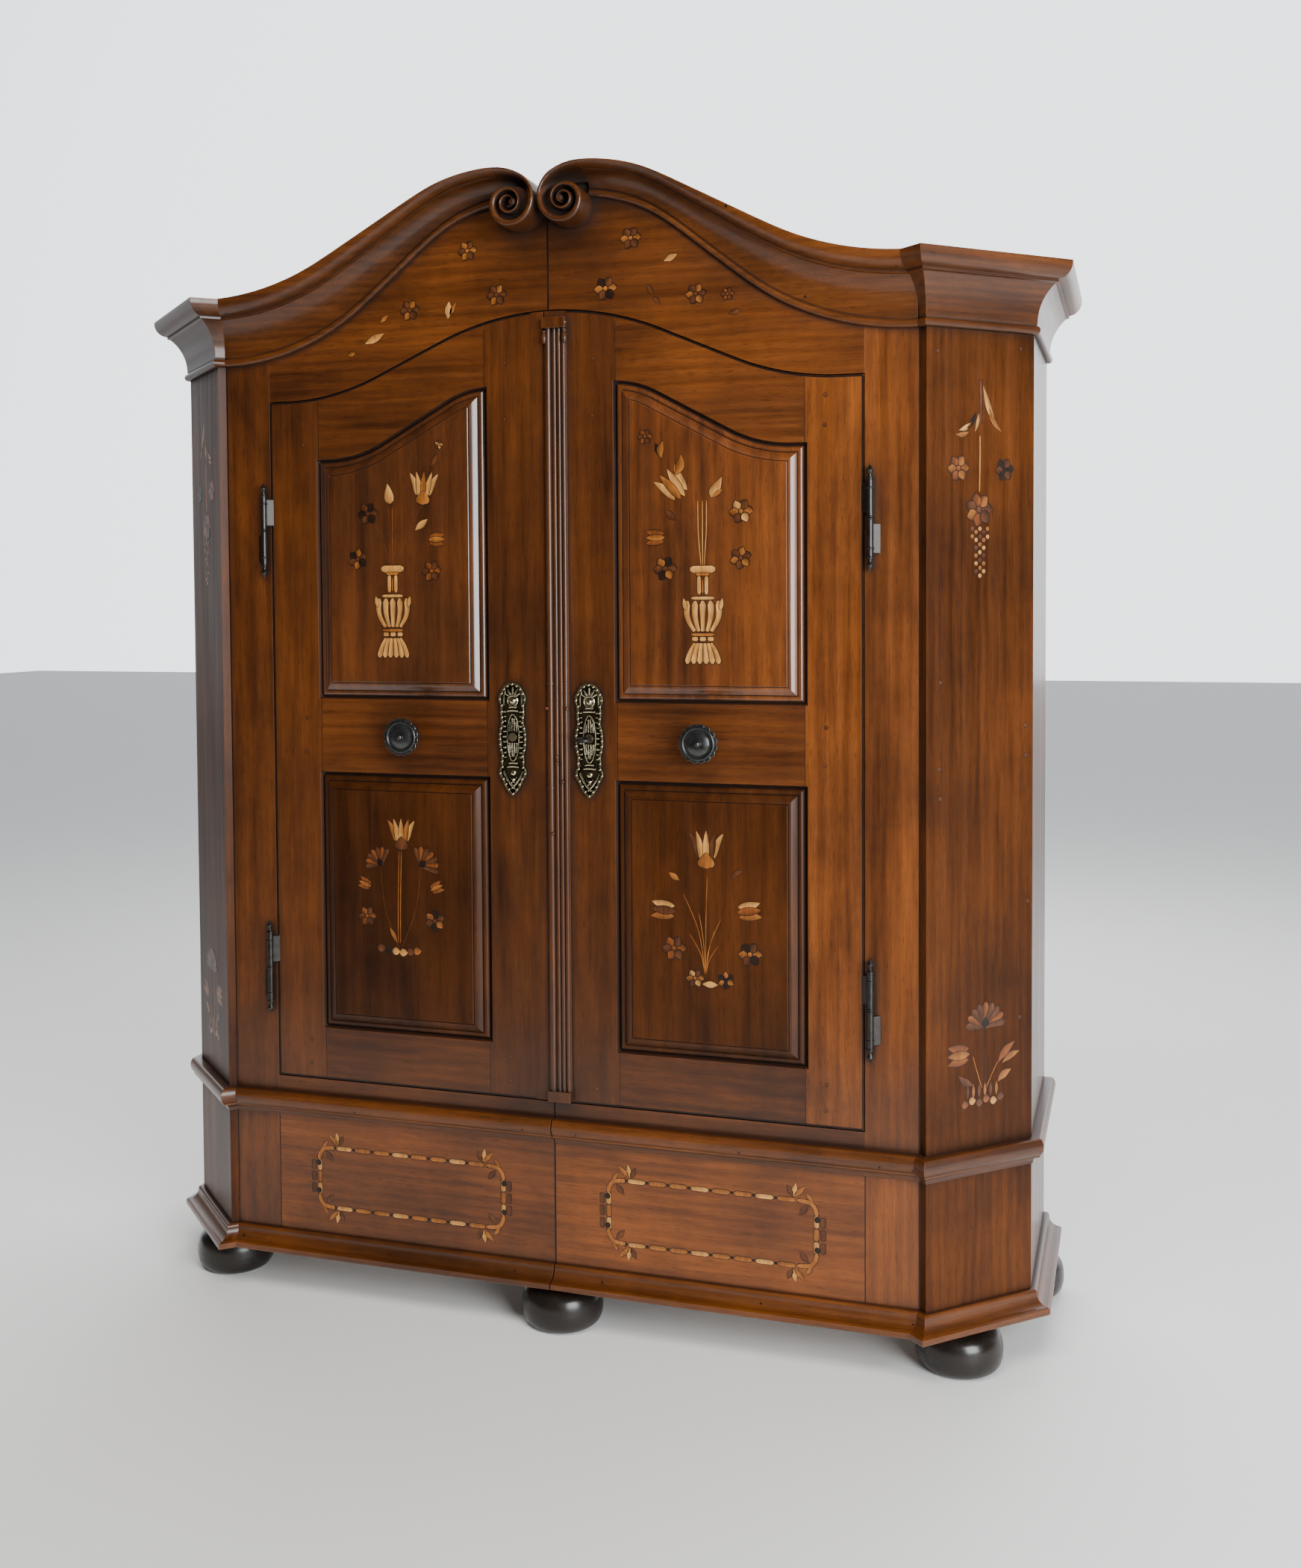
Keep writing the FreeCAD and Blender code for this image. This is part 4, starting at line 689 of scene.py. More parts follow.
class Inlay:
    """Slips let into one flat ground; places are in millimetres on that ground."""

    def __init__(self, name, origin, across=(1, 0, 0)):
        self.name = name
        self.origin = Vector(origin)
        self.across = Vector(across)
        self.up = Vector((0, 0, 1))
        self.out = self.across.cross(self.up)
        self.mesh = bmesh.new()
        self.singe = self.mesh.verts.layers.float.new("singe")

    def point(self, u, v, height):
        """Point of a place on the ground, raised by a height in metres."""
        return self.origin + (self.across * u + self.up * v) / 1000 + self.out * height

    def slip(self, line, breadth, form, wood, layer=2, singe=(0.0, 0.0)):
        """A slip along a line, as broad to each side as given where its form is full."""
        count = len(line)
        top = hair + layer * slip_step
        rows = []
        for i, (u, v) in enumerate(line):
            before, after = line[max(0, i - 1)], line[min(count - 1, i + 1)]
            du, dv = after[0] - before[0], after[1] - before[1]
            length = math.hypot(du, dv) or 1.0
            aside = (-dv / length, du / length)
            half = max(least_half, breadth * form(i / (count - 1)))
            row = []
            for reach, height, burn in ((1, -slip_depth, singe[0]), (1, top, singe[0]),
                                        (0, top, 0.35 * (singe[0] + singe[1])),
                                        (-1, top, singe[1]), (-1, -slip_depth, singe[1])):
                place = u + aside[0] * half * reach, v + aside[1] * half * reach
                corner = self.mesh.verts.new(self.point(*place, height))
                corner[self.singe] = burn
                row.append(corner)
            rows.append(row)
        number = wood_order.index(wood)
        for face in stitch(self.mesh, rows, number=number):
            face.smooth = False

    def blade(self, base, length, breadth, angle, form, wood,
              bend=0.0, seam=1.1, layer=3, singe=(0.0, 0.0)):
        """A petal, leaf or bar from its base, bent to one side, with a dark seam round it."""
        turn = math.radians(angle)
        along, aside = (math.cos(turn), math.sin(turn)), (-math.sin(turn), math.cos(turn))

        def line(start, end):
            """The blade's middle line, from and to a length along it."""
            places = []
            for i in range(slip_stations):
                share = i / (slip_stations - 1)
                reach = start + (end - start) * share
                sway = bend * math.sin(math.pi * share)
                places.append((base[0] + along[0] * reach + aside[0] * sway,
                               base[1] + along[1] * reach + aside[1] * sway))
            return places

        self.slip(line(-seam, length + seam), breadth / 2 + seam, form, "bog_oak", layer - 1)
        self.slip(line(0, length), breadth / 2, form, wood, layer, singe)

    def disc(self, centre, radius, wood, seam=0.9, layer=4):
        """A round eye or berry on a darker one."""
        for size, tint, level in ((radius + seam, "bog_oak", layer - 1), (radius, wood, layer)):
            line = [(centre[0] + size * (2 * i / 8 - 1), centre[1]) for i in range(slip_stations)]
            self.slip(line, size, disc_form, tint, level, (0.0, 0.5) if level == layer else (0.0, 0.0))

    def string(self, points, breadth, wood="maple", layer=0, seam=0.0):
        """A thin string of wood bent through some places."""
        line = []
        for a, b, c, d in zip([points[0]] + points, points, points[1:], points[2:] + points[-1:]):
            for i in range(string_steps):
                t = i / string_steps
                line.append(tuple(
                    0.5 * (2 * q + (r - p) * t + (2 * p - 5 * q + 4 * r - s) * t * t
                           + (3 * q - p - 3 * r + s) * t ** 3) for p, q, r, s in zip(a, b, c, d)))
        line.append(points[-1])
        if seam:
            self.slip(line, breadth / 2 + seam, even_form, "bog_oak", layer)
            layer += 1
        self.slip(line, breadth / 2, bar_form, wood, layer)

    def rosette(self, centre, radius, tones, petals=6, start=0.0):
        """Round petals about an eye, each singed on one side."""
        for i in range(petals):
            angle = start + 360 / petals * i
            turn = math.radians(angle)
            base = (centre[0] + math.cos(turn) * radius * 0.22, centre[1] + math.sin(turn) * radius * 0.22)
            self.blade(base, radius * 0.84, radius * 0.74, angle, petal_form, tones[i % len(tones)],
                       seam=1.5, bend=radius * 0.08, layer=3 + 2 * i, singe=(0.9, 0.1))
        self.disc(centre, radius * 0.2, tones[0], seam=1.4, layer=5 + 2 * petals)

    def tulip(self, base, size, angle, tones, petals=5, cup="pear", spread=10.0):
        """Upright petals side by side on a round cup, outer ones first."""
        turn = math.radians(angle)
        along, aside = (math.cos(turn), math.sin(turn)), (-math.sin(turn), math.cos(turn))
        middle = (petals - 1) / 2
        pitch = size * 0.56 / petals
        outer_first = sorted(range(petals), key=lambda i: -abs(i - middle))
        for place, i in enumerate(outer_first):
            off = i - middle
            rise = size * (0.10 + 0.045 * off * off)
            foot = [base[k] + aside[k] * off * pitch + along[k] * rise for k in (0, 1)]
            self.blade(foot, size * (0.88 - 0.05 * off * off), pitch * 1.5, angle + off * spread,
                       petal_form, tones[i % len(tones)], seam=1.2, bend=-off * size * 0.03,
                       layer=3 + 2 * place, singe=(0.6, 0.05) if off > 0 else (0.05, 0.6))
        if cup:
            self.blade(base, size * 0.42, size * 0.44, angle, bud_form, cup, layer=4 + 2 * petals,
                       singe=(0.5, 0.0))

    def carnation(self, base, size, angle, tones, petals=7):
        """A toothed fan of narrow petals on a dark cup."""
        for i in range(petals):
            off = i - (petals - 1) / 2
            self.blade(base, size, size * 0.30, angle - off * 21, flare_form, tones[i % len(tones)],
                       seam=1.0, layer=3 + 2 * i, singe=(0.8, 0.0))
        self.blade(base, size * 0.38, size * 0.34, angle, bud_form, "bog_oak", layer=4 + 2 * petals)

    def ribs(self, centre, low, high, narrow, wide, count, form, belly, share):
        """Upright ribs side by side, light between dark seams."""
        for i in range(count):
            off = (i + 0.5) / count * 2 - 1
            foot = (centre + narrow / 2 * off, low)
            head = (centre + wide / 2 * off, high)
            angle = math.degrees(math.atan2(head[1] - foot[1], head[0] - foot[0]))
            length = math.hypot(head[0] - foot[0], head[1] - foot[1])
            singe = (0.6, 0.0) if off < 0 else (0.0, 0.6)
            self.blade(foot, length, max(narrow, wide) / count * share, angle, form, "maple",
                       bend=-belly * off, seam=1.5, layer=3, singe=singe)

    def vase(self, x, foot):
        """Covered vase with a fluted foot, a knot, a gadrooned body and a slender neck."""
        self.ribs(x, foot + 38, foot, 36, 72, 6, flare_form, belly=-3.0, share=0.92)
        for off in (-15, 0, 15):
            self.blade((x + off - 5.5, foot + 46), 11, 7.5, 0, bar_form, "maple", layer=5, singe=(0.4, 0.0))
        self.blade((x - 22, foot + 54), 44, 5, 0, bar_form, "pear", layer=5, singe=(0.4, 0.0))
        self.ribs(x, foot + 60, foot + 116, 40, 74, 5, flare_form, belly=9.0, share=0.86)
        for off in (-33, 33):
            self.blade((x + off, foot + 99), 22, 8, 90 - off * 0.3, petal_form, "maple",
                       layer=7, singe=(0.6, 0.0))
        self.blade((x - 22, foot + 121), 44, 5.5, 0, bar_form, "maple", layer=9, singe=(0.0, 0.4))
        for off in (-7, 7):
            self.blade((x + off, foot + 128), 34, 7, 90, bar_form, "maple", layer=7, singe=(0.3, 0.0))
        self.blade((x, foot + 130), 26, 2.2, 90, bar_form, "pear", layer=9)
        self.blade((x - 13, foot + 165), 26, 5, 0, bar_form, "pear", layer=9)
        self.blade((x - 24, foot + 174), 48, 13, 0, bar_form, "maple", layer=7, singe=(0.0, 0.5))

    def finish(self, body):
        """End the ground's marquetry and let it ride its body."""
        return settle(self.name, self.mesh, [woods[wood] for wood in wood_order], body, sharp=0)


# The panels' inlay: above, a covered vase with stems, tulips, buds and small
# flowers; below, a tall tulip between flowers on a bow of petals. Each panel
# has its own, drawn by eye with the knife.
pale = ("maple", "maple", "pear")
brown = ("cherry", "pear", "cherry")
russet = ("plum", "cherry")
dusky = ("cherry", "bog_oak", "pear")
striped = ("plum", "pear", "plum")
for side, name in ((-1, "left"), (1, "right")):
    upper = Inlay(name + "_upper_marquetry", (0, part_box(name + "_door_upper_panel")[0].y, 0))
    x, foot = (-326, 1300) if side < 0 else (304, 1292)
    upper.vase(x, foot)
    mouth = foot + 182
    if side < 0:
        for off, wood in ((-6, "cherry"), (1, "plum"), (7, "cherry")):
            stem = [(x + off * 0.5, mouth), (x + off, mouth + 60), (x + off * 1.2, mouth + 112)]
            upper.string(stem, 1.2, wood)
        upper.string([(x + 6, mouth), (-290, 1545), (-262, 1598)], 0.8, "cherry")
        upper.string([(x - 6, mouth), (-350, 1540), (-372, 1570)], 0.8, "cherry")
        upper.tulip((-260, 1598), 66, 86, pale)
        upper.blade((-330, 1601), 40, 20, 97, bud_form, "maple", singe=(0.7, 0.0))
        upper.rosette((-378, 1583), 20, ("cherry", "bog_oak"))
        upper.rosette((-401, 1494), 19, ("cherry", "pear", "bog_oak"), start=20)
        upper.blade((-276, 1549), 34, 13, 38, leaf_form, "maple", singe=(0.0, 0.6))
        upper.tulip((-252, 1530), 40, 0, striped, petals=3, cup=None, spread=6.0)
        upper.rosette((-242, 1469), 19, russet)
        upper.blade((-240, 1672), 26, 10, 62, leaf_form, "cherry", singe=(0.5, 0.0))
        upper.rosette((-224, 1713), 8, ("maple", "cherry"), petals=5)
        upper.string([(-246, 1655), (-238, 1680), (-228, 1704)], 0.8, "bog_oak")
    else:
        for off in (-8, 0, 7):
            upper.string([(x + off * 0.4, mouth), (x + off, mouth + 60), (x + off * 1.1, mouth + 118)], 1.1)
        upper.string([(x + 5, mouth), (322, 1545), (326, 1598)], 0.9, "cherry")
        upper.string([(x - 6, mouth), (280, 1550), (266, 1590)], 0.9, "cherry")
        upper.tulip((272, 1592), 70, 128, pale, petals=4, cup=None, spread=8.0)
        upper.blade((250, 1640), 40, 17, 70, leaf_form, "pear", bend=-5, layer=13, singe=(0.7, 0.0))
        upper.blade((226, 1672), 32, 13, 84, leaf_form, "pear", bend=4, layer=13, singe=(0.7, 0.0))
        upper.blade((320, 1598), 42, 19, 60, bud_form, "maple", singe=(0.7, 0.0))
        upper.blade((322, 1597), 26, 8, 36, leaf_form, "pear", layer=6, singe=(0.0, 0.5))
        upper.rosette((377, 1571), 21, ("pear", "cherry", "maple"))
        upper.rosette((376, 1486), 19, ("cherry", "pear"), start=15)
        upper.blade((232, 1576), 28, 12, -42, leaf_form, "cherry", singe=(0.0, 0.6))
        upper.tulip((236, 1526), 42, 180, striped, petals=3, cup=None, spread=6.0)
        upper.rosette((232, 1468), 21, dusky)
        upper.blade((214, 1700), 26, 10, -68, leaf_form, "bog_oak")
        upper.rosette((194, 1713), 13, ("plum", "cherry"))
    upper.finish("door_" + name)

    lower = Inlay(name + "_lower_marquetry", (0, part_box(name + "_door_lower_panel")[0].y, 0))
    if side < 0:
        lower.tulip((-314, 920), 64, 90, ("maple", "pear", "maple"), petals=5, cup="cherry")
        for off in (-3, 2):
            lower.string([(-320 + off, 735), (-319 + off, 820), (-316 + off, 918)], 1.3, "pear")
        lower.string([(-322, 725), (-350, 800), (-360, 885)], 0.9, "cherry")
        lower.string([(-316, 725), (-285, 800), (-272, 885)], 0.9, "cherry")
        lower.carnation((-358, 890), 34, 128, ("cherry", "plum"))
        lower.carnation((-272, 890), 38, 48, ("cherry", "plum"))
        lower.tulip((-378, 844), 32, 160, striped, petals=3, cup=None, spread=8.0)
        lower.tulip((-254, 842), 32, 24, striped, petals=3, cup=None, spread=8.0)
        lower.rosette((-390, 785), 18, russet)
        lower.rosette((-243, 783), 20, dusky, start=20)
        for off, wood in ((-46, "cherry"), (-30, "bog_oak"), (-14, "maple"), (2, "maple"),
                          (18, "cherry"), (32, "pear")):
            lower.blade((-322 + off, 716 + abs(off) * 0.15), 17, 15, 0, petal_form, wood,
                        layer=4, singe=(0.6, 0.0))
        lower.blade((-325, 735), 34, 8, 118, leaf_form, "pear", singe=(0.4, 0.0))
    else:
        lower.tulip((308, 912), 72, 90, ("maple", "cherry", "maple"), petals=5, cup="pear")
        for lean, rise in ((-42, 155), (-30, 80), (-12, 120), (4, 190), (18, 90), (30, 112), (24, 60)):
            stem = [(306, 708), (306 + lean * 0.3, 708 + rise * 0.55), (306 + lean, 708 + rise)]
            lower.string(stem, 1.0, "pear")
        lower.blade((256, 888), 24, 11, 145, leaf_form, "pear", singe=(0.5, 0.0))
        lower.blade((358, 895), 26, 10, 38, leaf_form, "cherry", bend=4, singe=(0.5, 0.0))
        lower.tulip((254, 829), 54, 176, ("maple", "cherry", "pear"), petals=3, cup=None, spread=5.0)
        lower.tulip((362, 833), 52, 8, ("pear", "plum", "maple"), petals=3, cup=None, spread=5.0)
        lower.rosette((246, 760), 22, russet)
        lower.rosette((391, 757), 21, ("pear", "cherry", "bog_oak"))
        lower.rosette((286, 706), 16, ("pear", "cherry", "maple"))
        lower.rosette((345, 706), 15, ("bog_oak", "pear"), start=30)
        lower.blade((300, 696), 30, 12, 0, leaf_form, "maple", singe=(0.0, 0.3))
    lower.finish("door_" + name)


# The base boards' inlay: on each board a long border of short pear and maple
# bars with dark eyes between, bent round at the corners, with stacked lobes at
# its ends and a sprig of leaves at each corner.
border_near, border_far = 104, 516
border_low, border_high = 181, 304
border_corner, border_bars = 40, 8


def border(ground, left, right, low, high, corner, bars):
    """One border, between its ends and its two levels, with corners as wide as given."""
    pitch = (right - left - 2 * corner) / bars
    for level in (low, high):
        for i in range(bars):
            start = left + corner + i * pitch
            ground.blade((start + 4, level), pitch - 8, 8.5, 0, bar_form, "pear" if i % 3 else "maple",
                         singe=(0.5, 0.0))
            ground.disc((start, level), 3.0, "bog_oak", seam=0.0)
    middle = (low + high) / 2
    for edge, face in ((left, 1), (right, -1)):
        for off in (-24, 0, 24):
            ground.blade((edge + 5 * face, middle + off - 11), 22, 9.5, 90, bar_form,
                         "maple" if off else "pear", singe=(0.6, 0.1))
            ground.blade((edge - 8 * face, middle + off - 9), 18, 8.5, 90, bar_form, "cherry",
                         singe=(0.2, 0.5))
        for level, rise in ((low, 1), (high, -1)):
            ground.string([(edge + corner * face, level), (edge + corner * 0.42 * face, level + 3 * rise),
                           (edge + 7 * face, level + 13 * rise), (edge + 4 * face, level + 26 * rise)],
                          7.5, "pear", 2, seam=1.1)
            ground.blade((edge + corner * 0.5 * face, level + 8 * rise), 25, 10,
                         90 * rise - 40 * face * rise, leaf_form, "cherry", singe=(0.5, 0.0))
            ground.blade((edge + corner * 0.3 * face, level + 1 * rise), 19, 8,
                         90 - 90 * face + 52 * face * -rise, leaf_form, "pear", singe=(0.5, 0.0))
            ground.disc((edge + 3 * face, level + 33 * rise), 5, "bog_oak")
            sprig = (edge + corner * 1.2 * face, level - 5 * rise)
            for lean, length, wood in ((46, 32, "pear"), (10, 27, "maple"), (-28, 24, "cherry")):
                ground.blade(sprig, length, 9.5, -90 * rise - lean * face * rise, leaf_form, wood,
                             singe=(0.5, 0.0))


for side, name in ((-1, "left"), (1, "right")):
    ground = Inlay(name + "_base_marquetry", (0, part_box("base_board_" + name)[0].y, 0))
    left, right = sorted((side * border_near, side * border_far))
    border(ground, left, right, border_low, border_high, border_corner, border_bars)
    ground.finish("carcass")


# The frieze's inlay: small six-petalled flowers and loose leaves, strewn
# under the crown moulding in browner woods than the panels have.
frieze_flowers = [
    (-165, 2083, 18, ("pear", "cherry")), (165, 2083, 19, ("pear", "cherry", "cherry")),
    (-105, 1995, 19, brown), (115, 1993, 21, ("pear", "cherry", "bog_oak")),
    (-288, 1977, 19, brown), (290, 1972, 18, ("cherry", "pear")), (350, 1968, 11, russet),
]
frieze_leaves = [
    (-207, 1955, 34, 15, 86, "maple"), (-204, 1962, 28, 9, 60, "pear"), (-386, 1917, 46, 15, 24, "maple"),
    (-352, 1957, 22, 9, 40, "pear"), (-424, 1897, 17, 9, 12, "pear"), (229, 2036, 28, 12, 24, "maple"),
    (196, 1996, 24, 9, -58, "cherry"), (207, 1972, 20, 8, -40, "cherry"), (352, 1932, 24, 9, 14, "cherry"),
]
ground = Inlay("frieze_marquetry", (0, front_y, 0))
for x, z, radius, tones in frieze_flowers:
    ground.rosette((x, z), radius, tones)
for x, z, length, breadth, angle, wood in frieze_leaves:
    ground.blade((x, z), length, breadth, angle, leaf_form, wood, singe=(0.6, 0.0))
ground.finish("carcass")


# The cants' inlay: a hanging spray with flowers and a cluster of berries above,
# and a carnation with leaves on a row of round petals below, the same on both
# sides, mirrored.
cant_turn = math.radians(44)
cant_arris_x = 0.71189


def cant_ground(side, name, what):
    """Ground of one cant, from the arris beside the stile to the arris at the side."""
    across = Vector((math.cos(cant_turn), side * math.sin(cant_turn), 0))
    return Inlay(name + what, (side * cant_arris_x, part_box("corner_board_" + name)[0].y, 0), across)


for side, name in ((-1, "left"), (1, "right")):
    ground = cant_ground(side, name, "_cant_marquetry")
    ground.string([(118 * side, 1800), (119 * side, 1765), (118 * side, 1722)], 5.5, "cherry", seam=1.2)
    for base, length, breadth, lean, wood, bend in (
            ((124, 1790), 78, 12, 22, "maple", -3), ((136, 1752), 52, 10, 34, "pear", -5),
            ((114, 1740), 34, 7, -14, "maple", 2), ((108, 1742), 38, 8, -34, "bog_oak", 3),
            ((98, 1724), 32, 9, -60, "maple", 3), ((92, 1706), 30, 9, -80, "pear", 3)):
        ground.blade((base[0] * side, base[1]), length, breadth, -90 + lean * side, leaf_form, wood,
                     bend=bend * side, singe=(0.6, 0.0))
    ground.string([(117 * side, 1700), (117 * side, 1655), (116 * side, 1600)], 2.0, "maple")
    ground.rosette((69 * side, 1641), 22, ("plum", "pear"))
    ground.rosette((172 * side, 1641), 19, ("bog_oak", "cherry"))
    ground.rosette((115 * side, 1568), 28, ("cherry", "pear", "plum"), petals=7)
    for row in range(7):
        half = (2, 2, 1, 1, 1, 1, 0)[row]
        for off in range(-half, half + 1):
            ground.disc(((117 + off * 8.5) * side, 1534 - row * 14 - (off % 2) * 6), 3.9,
                        ("maple", "cherry", "pear")[(row + off) % 3], seam=1.0)
    ground.carnation((132 * side, 632), 44, 90, ("cherry", "plum", "cherry"), petals=9)
    ground.string([(128 * side, 520), (131 * side, 570), (132 * side, 630)], 2.0, "bog_oak")
    ground.string([(124 * side, 520), (112 * side, 555), (104 * side, 580)], 1.4, "pear")
    ground.string([(134 * side, 520), (150 * side, 548), (160 * side, 564)], 1.4, "pear")
    ground.tulip((102 * side, 586), 56, 90 + 90 * side, striped, cup=None, petals=3, spread=7.0)
    for base, length, breadth, lean, wood in (
            ((160, 562), 52, 15, -48, "plum"), ((170, 560), 44, 12, -66, "pear"),
            ((160, 527), 36, 14, -58, "pear"), ((106, 527), 40, 12, 58, "cherry")):
        ground.blade((base[0] * side, base[1]), length, breadth, 90 + lean * side, leaf_form, wood,
                     bend=3 * side, singe=(0.5, 0.0))
    for place in range(6):
        ground.blade(((86 + place * 16) * side - 7, 494 + 5 * (place % 2)), 15, 14, 0, petal_form,
                     ("plum", "maple", "cherry")[place % 3], layer=4, singe=(0.6, 0.0))
        ground.blade(((92 + place * 13) * side, 503), 26, 6, 90, leaf_form, ("cherry", "pear")[place % 2],
                     singe=(0.4, 0.0))
    ground.finish("carcass")


# The doors' joints and pegs: rails shouldered tight against stiles, and their
# tenons pinned with pegs of a darker wood. Old polish and dust have filled the
# joints. Dark strips along each door's arch, outer edge and foot are painted
# shadow of the gap round the doors.
joint_breadth, gap_shadow_breadth, gap_shadow_inset = 0.45, 1.5, 1.7
peg_radius, peg_shares, peg_stagger = 3.4, (0.28, 0.72), 4
joint_clear, inner_head_drop = 0.004, 0.022
meeting_edge, gap_shadow_steps = 36.0, 48
door_crest, door_foot = (0.0, 1.958), (0.560, 1.810)
door_steepness, door_share = 1.587, 0.531
for side, name in ((-1, "left"), (1, "right")):
    ground = Inlay(name + "_door_joints", (0, front_y, 0))
    for rail in ("top_rail", "middle_rail", "bottom_rail"):
        low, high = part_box(name + "_door_" + rail)
        ends = {low.x: "outer" if side < 0 else "inner", high.x: "inner" if side < 0 else "outer"}
        for x, stile in ends.items():
            stile_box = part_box(name + "_door_" + stile + "_stile")
            head = stile_box[1].z - joint_clear if rail == "top_rail" else high.z
            if rail == "top_rail" and stile == "inner":
                head -= inner_head_drop
            joint = [(x * 1000, low.z * 1000 + 1), (x * 1000, head * 1000 - 1)]
            ground.slip(joint, joint_breadth, even_form, "bog_oak")
            peg_x = 1000 * (x + (stile_box[0].x + stile_box[1].x)) / 3
            for share in peg_shares:
                level = 1000 * (low.z + (min(high.z, head) - low.z) * share)
                ground.disc((peg_x + peg_stagger * share, level), peg_radius, "cherry", seam=0.7)
    # Painted shadow of the gap round the door: dark strips along the arch, the outer edge and the foot.
    low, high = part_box(name + "_door_outer_stile")
    outer, inner = 1000 * (low.x if side < 0 else high.x), side * meeting_edge
    outer -= side * gap_shadow_inset
    foot = 1000 * low.z + gap_shadow_inset
    arch = []
    for step in range(gap_shadow_steps + 1):
        x = outer + (inner - outer) * step / gap_shadow_steps
        level = swan(abs(x) / 1000, door_crest, door_foot, door_steepness, door_share)
        arch.append((x, 1000 * level - gap_shadow_inset))
    for line in (arch, [(outer, foot), (outer, arch[0][1])], [(outer, foot), (inner, foot)]):
        ground.slip(line, gap_shadow_breadth, even_form, "bog_oak")
    ground.finish("door_" + name)


# The case's joints: the seam where the two halves meet, the arris between
# stile and cant, and the shoulders of the base, tight and filled dark. The
# seam's strip is drawn broader than the seam, as painted shadow in it.
stile_box, board_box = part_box("stile_right"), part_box("base_board_right")
base_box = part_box("base_stile_right")
seam_and_shadow_breadth, arris_breadth, shoulder_breadth = 1.7, 1.3, 0.9
seam_foot, seam_head, arris_inset = 0.004, 0.03, 0.0014
case_joints = {
    "case_joints": (front_y, [
        (0.0, door_crest[1] + seam_foot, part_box("volute_right")[0].z + seam_head, seam_and_shadow_breadth),
        (stile_box[1].x - arris_inset, stile_box[0].z, stile_box[1].z, arris_breadth)]),
    "base_joints": (board_box[0].y, [
        (0.0, board_box[0].z, board_box[1].z, seam_and_shadow_breadth),
        (base_box[0].x, board_box[0].z, board_box[1].z, shoulder_breadth),
        (base_box[1].x - arris_inset, board_box[0].z, board_box[1].z, arris_breadth)]),
}
for name, (plane, lines) in case_joints.items():
    ground = Inlay(name, (0, plane, 0))
    for x, lower, upper, breadth in lines:
        for side in (-1, 1) if x else (1,):
            joint = [(1000 * x * side, 1000 * lower), (1000 * x * side, 1000 * upper)]
            ground.slip(joint, breadth, even_form, "bog_oak")
    ground.finish("carcass")


# The nails: forged, with small flat heads, driven through the faces of the
# mouldings and set level with the wood.
nail_radius, nail_rise, nail_bed, before_case = 0.0026, 0.0002, 0.001, -1.0
nail_head = [(nail_radius, 0), (nail_radius, nail_bed), (nail_radius * 0.6, nail_bed + nail_rise)]
nails = {
    "cornice": [(-0.370, 2.125), (-0.450, 2.090), (0.365, 2.110), (0.575, 2.030), (0.495, 1.953),
                (-0.560, 2.035), (0.665, 1.985), (-0.665, 1.985)],
    "waist_moulding": [(x, None) for x in (-0.69, -0.42, -0.06, 0.05, 0.37, 0.63, 0.69)],
    "base_moulding": [(x, None) for x in (-0.68, -0.35, -0.08, 0.10, 0.41, 0.69)],
}
mesh = bmesh.new()
for piece, places in nails.items():
    for x, z in places:
        host = node_of[piece + ("_right" if x > 0 else "_left")].data
        skin = BVHTree.FromPolygons([v.co for v in host.vertices], [p.vertices for p in host.polygons])
        low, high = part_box(piece + "_right")
        level = (low.z + high.z) / 2 if z is None else z
        spot, facing = skin.ray_cast(Vector((x, before_case, level)), Vector((0, 1, 0)))[:2]
        if spot:
            facing = facing if facing.y < 0 else -facing
            turned(mesh, spot - facing * nail_bed, facing, nail_head, sides=12)
settle("moulding_nails", mesh, [woods["bog_oak"]], "carcass")


# The cants' pegs: pins of a darker wood, driven through the corner boards into
# the stiles and the sides, and cut off flush.
pegs = [(28, 1106), (30, 1260), (222, 1177), (208, 1860), (222, 1122), (228, 853), (30, 1053),
        (210, 640), (24, 1845)]
for side, name in ((-1, "left"), (1, "right")):
    ground = cant_ground(side, name, "_cant_pegs")
    for u, z in pegs:
        ground.disc((u * side, z), peg_radius, "cherry", seam=1.1)
    ground.finish("carcass")


# The unseen boards: floor, roof, back and battens of unpolished softwood, sawn
# and planed by hand, grey and brown with age, each board a little different.
softwood_light, softwood_dark = (0.36, 0.21, 0.10), (0.15, 0.075, 0.035)


def softwood(name, turn):
    """Bare softwood, each board as dark as its own number makes it."""
    material = walnut(name, turn, (0.4, 0.7, 0.2), softwood_light, softwood_dark, rings=9.0, coat=0.0)
    tree = material.node_tree
    shown = tree.nodes["Principled BSDF"].inputs["Base Color"]
    colour = shown.links[0].from_socket
    board = node(tree, "NewGeometry").outputs["Random Per Island"]
    tree.links.new(blend(tree, 1.0, colour, ramp(tree, board, [(0.0, 0.62), (1.0, 1.0)]), "MULTIPLY"), shown)
    return material


dress("back_boards", softwood("back_boards", grain_up))
for name in ("floor_boards", "roof_boards", "joining_battens"):
    dress(name, softwood(name, grain_across))


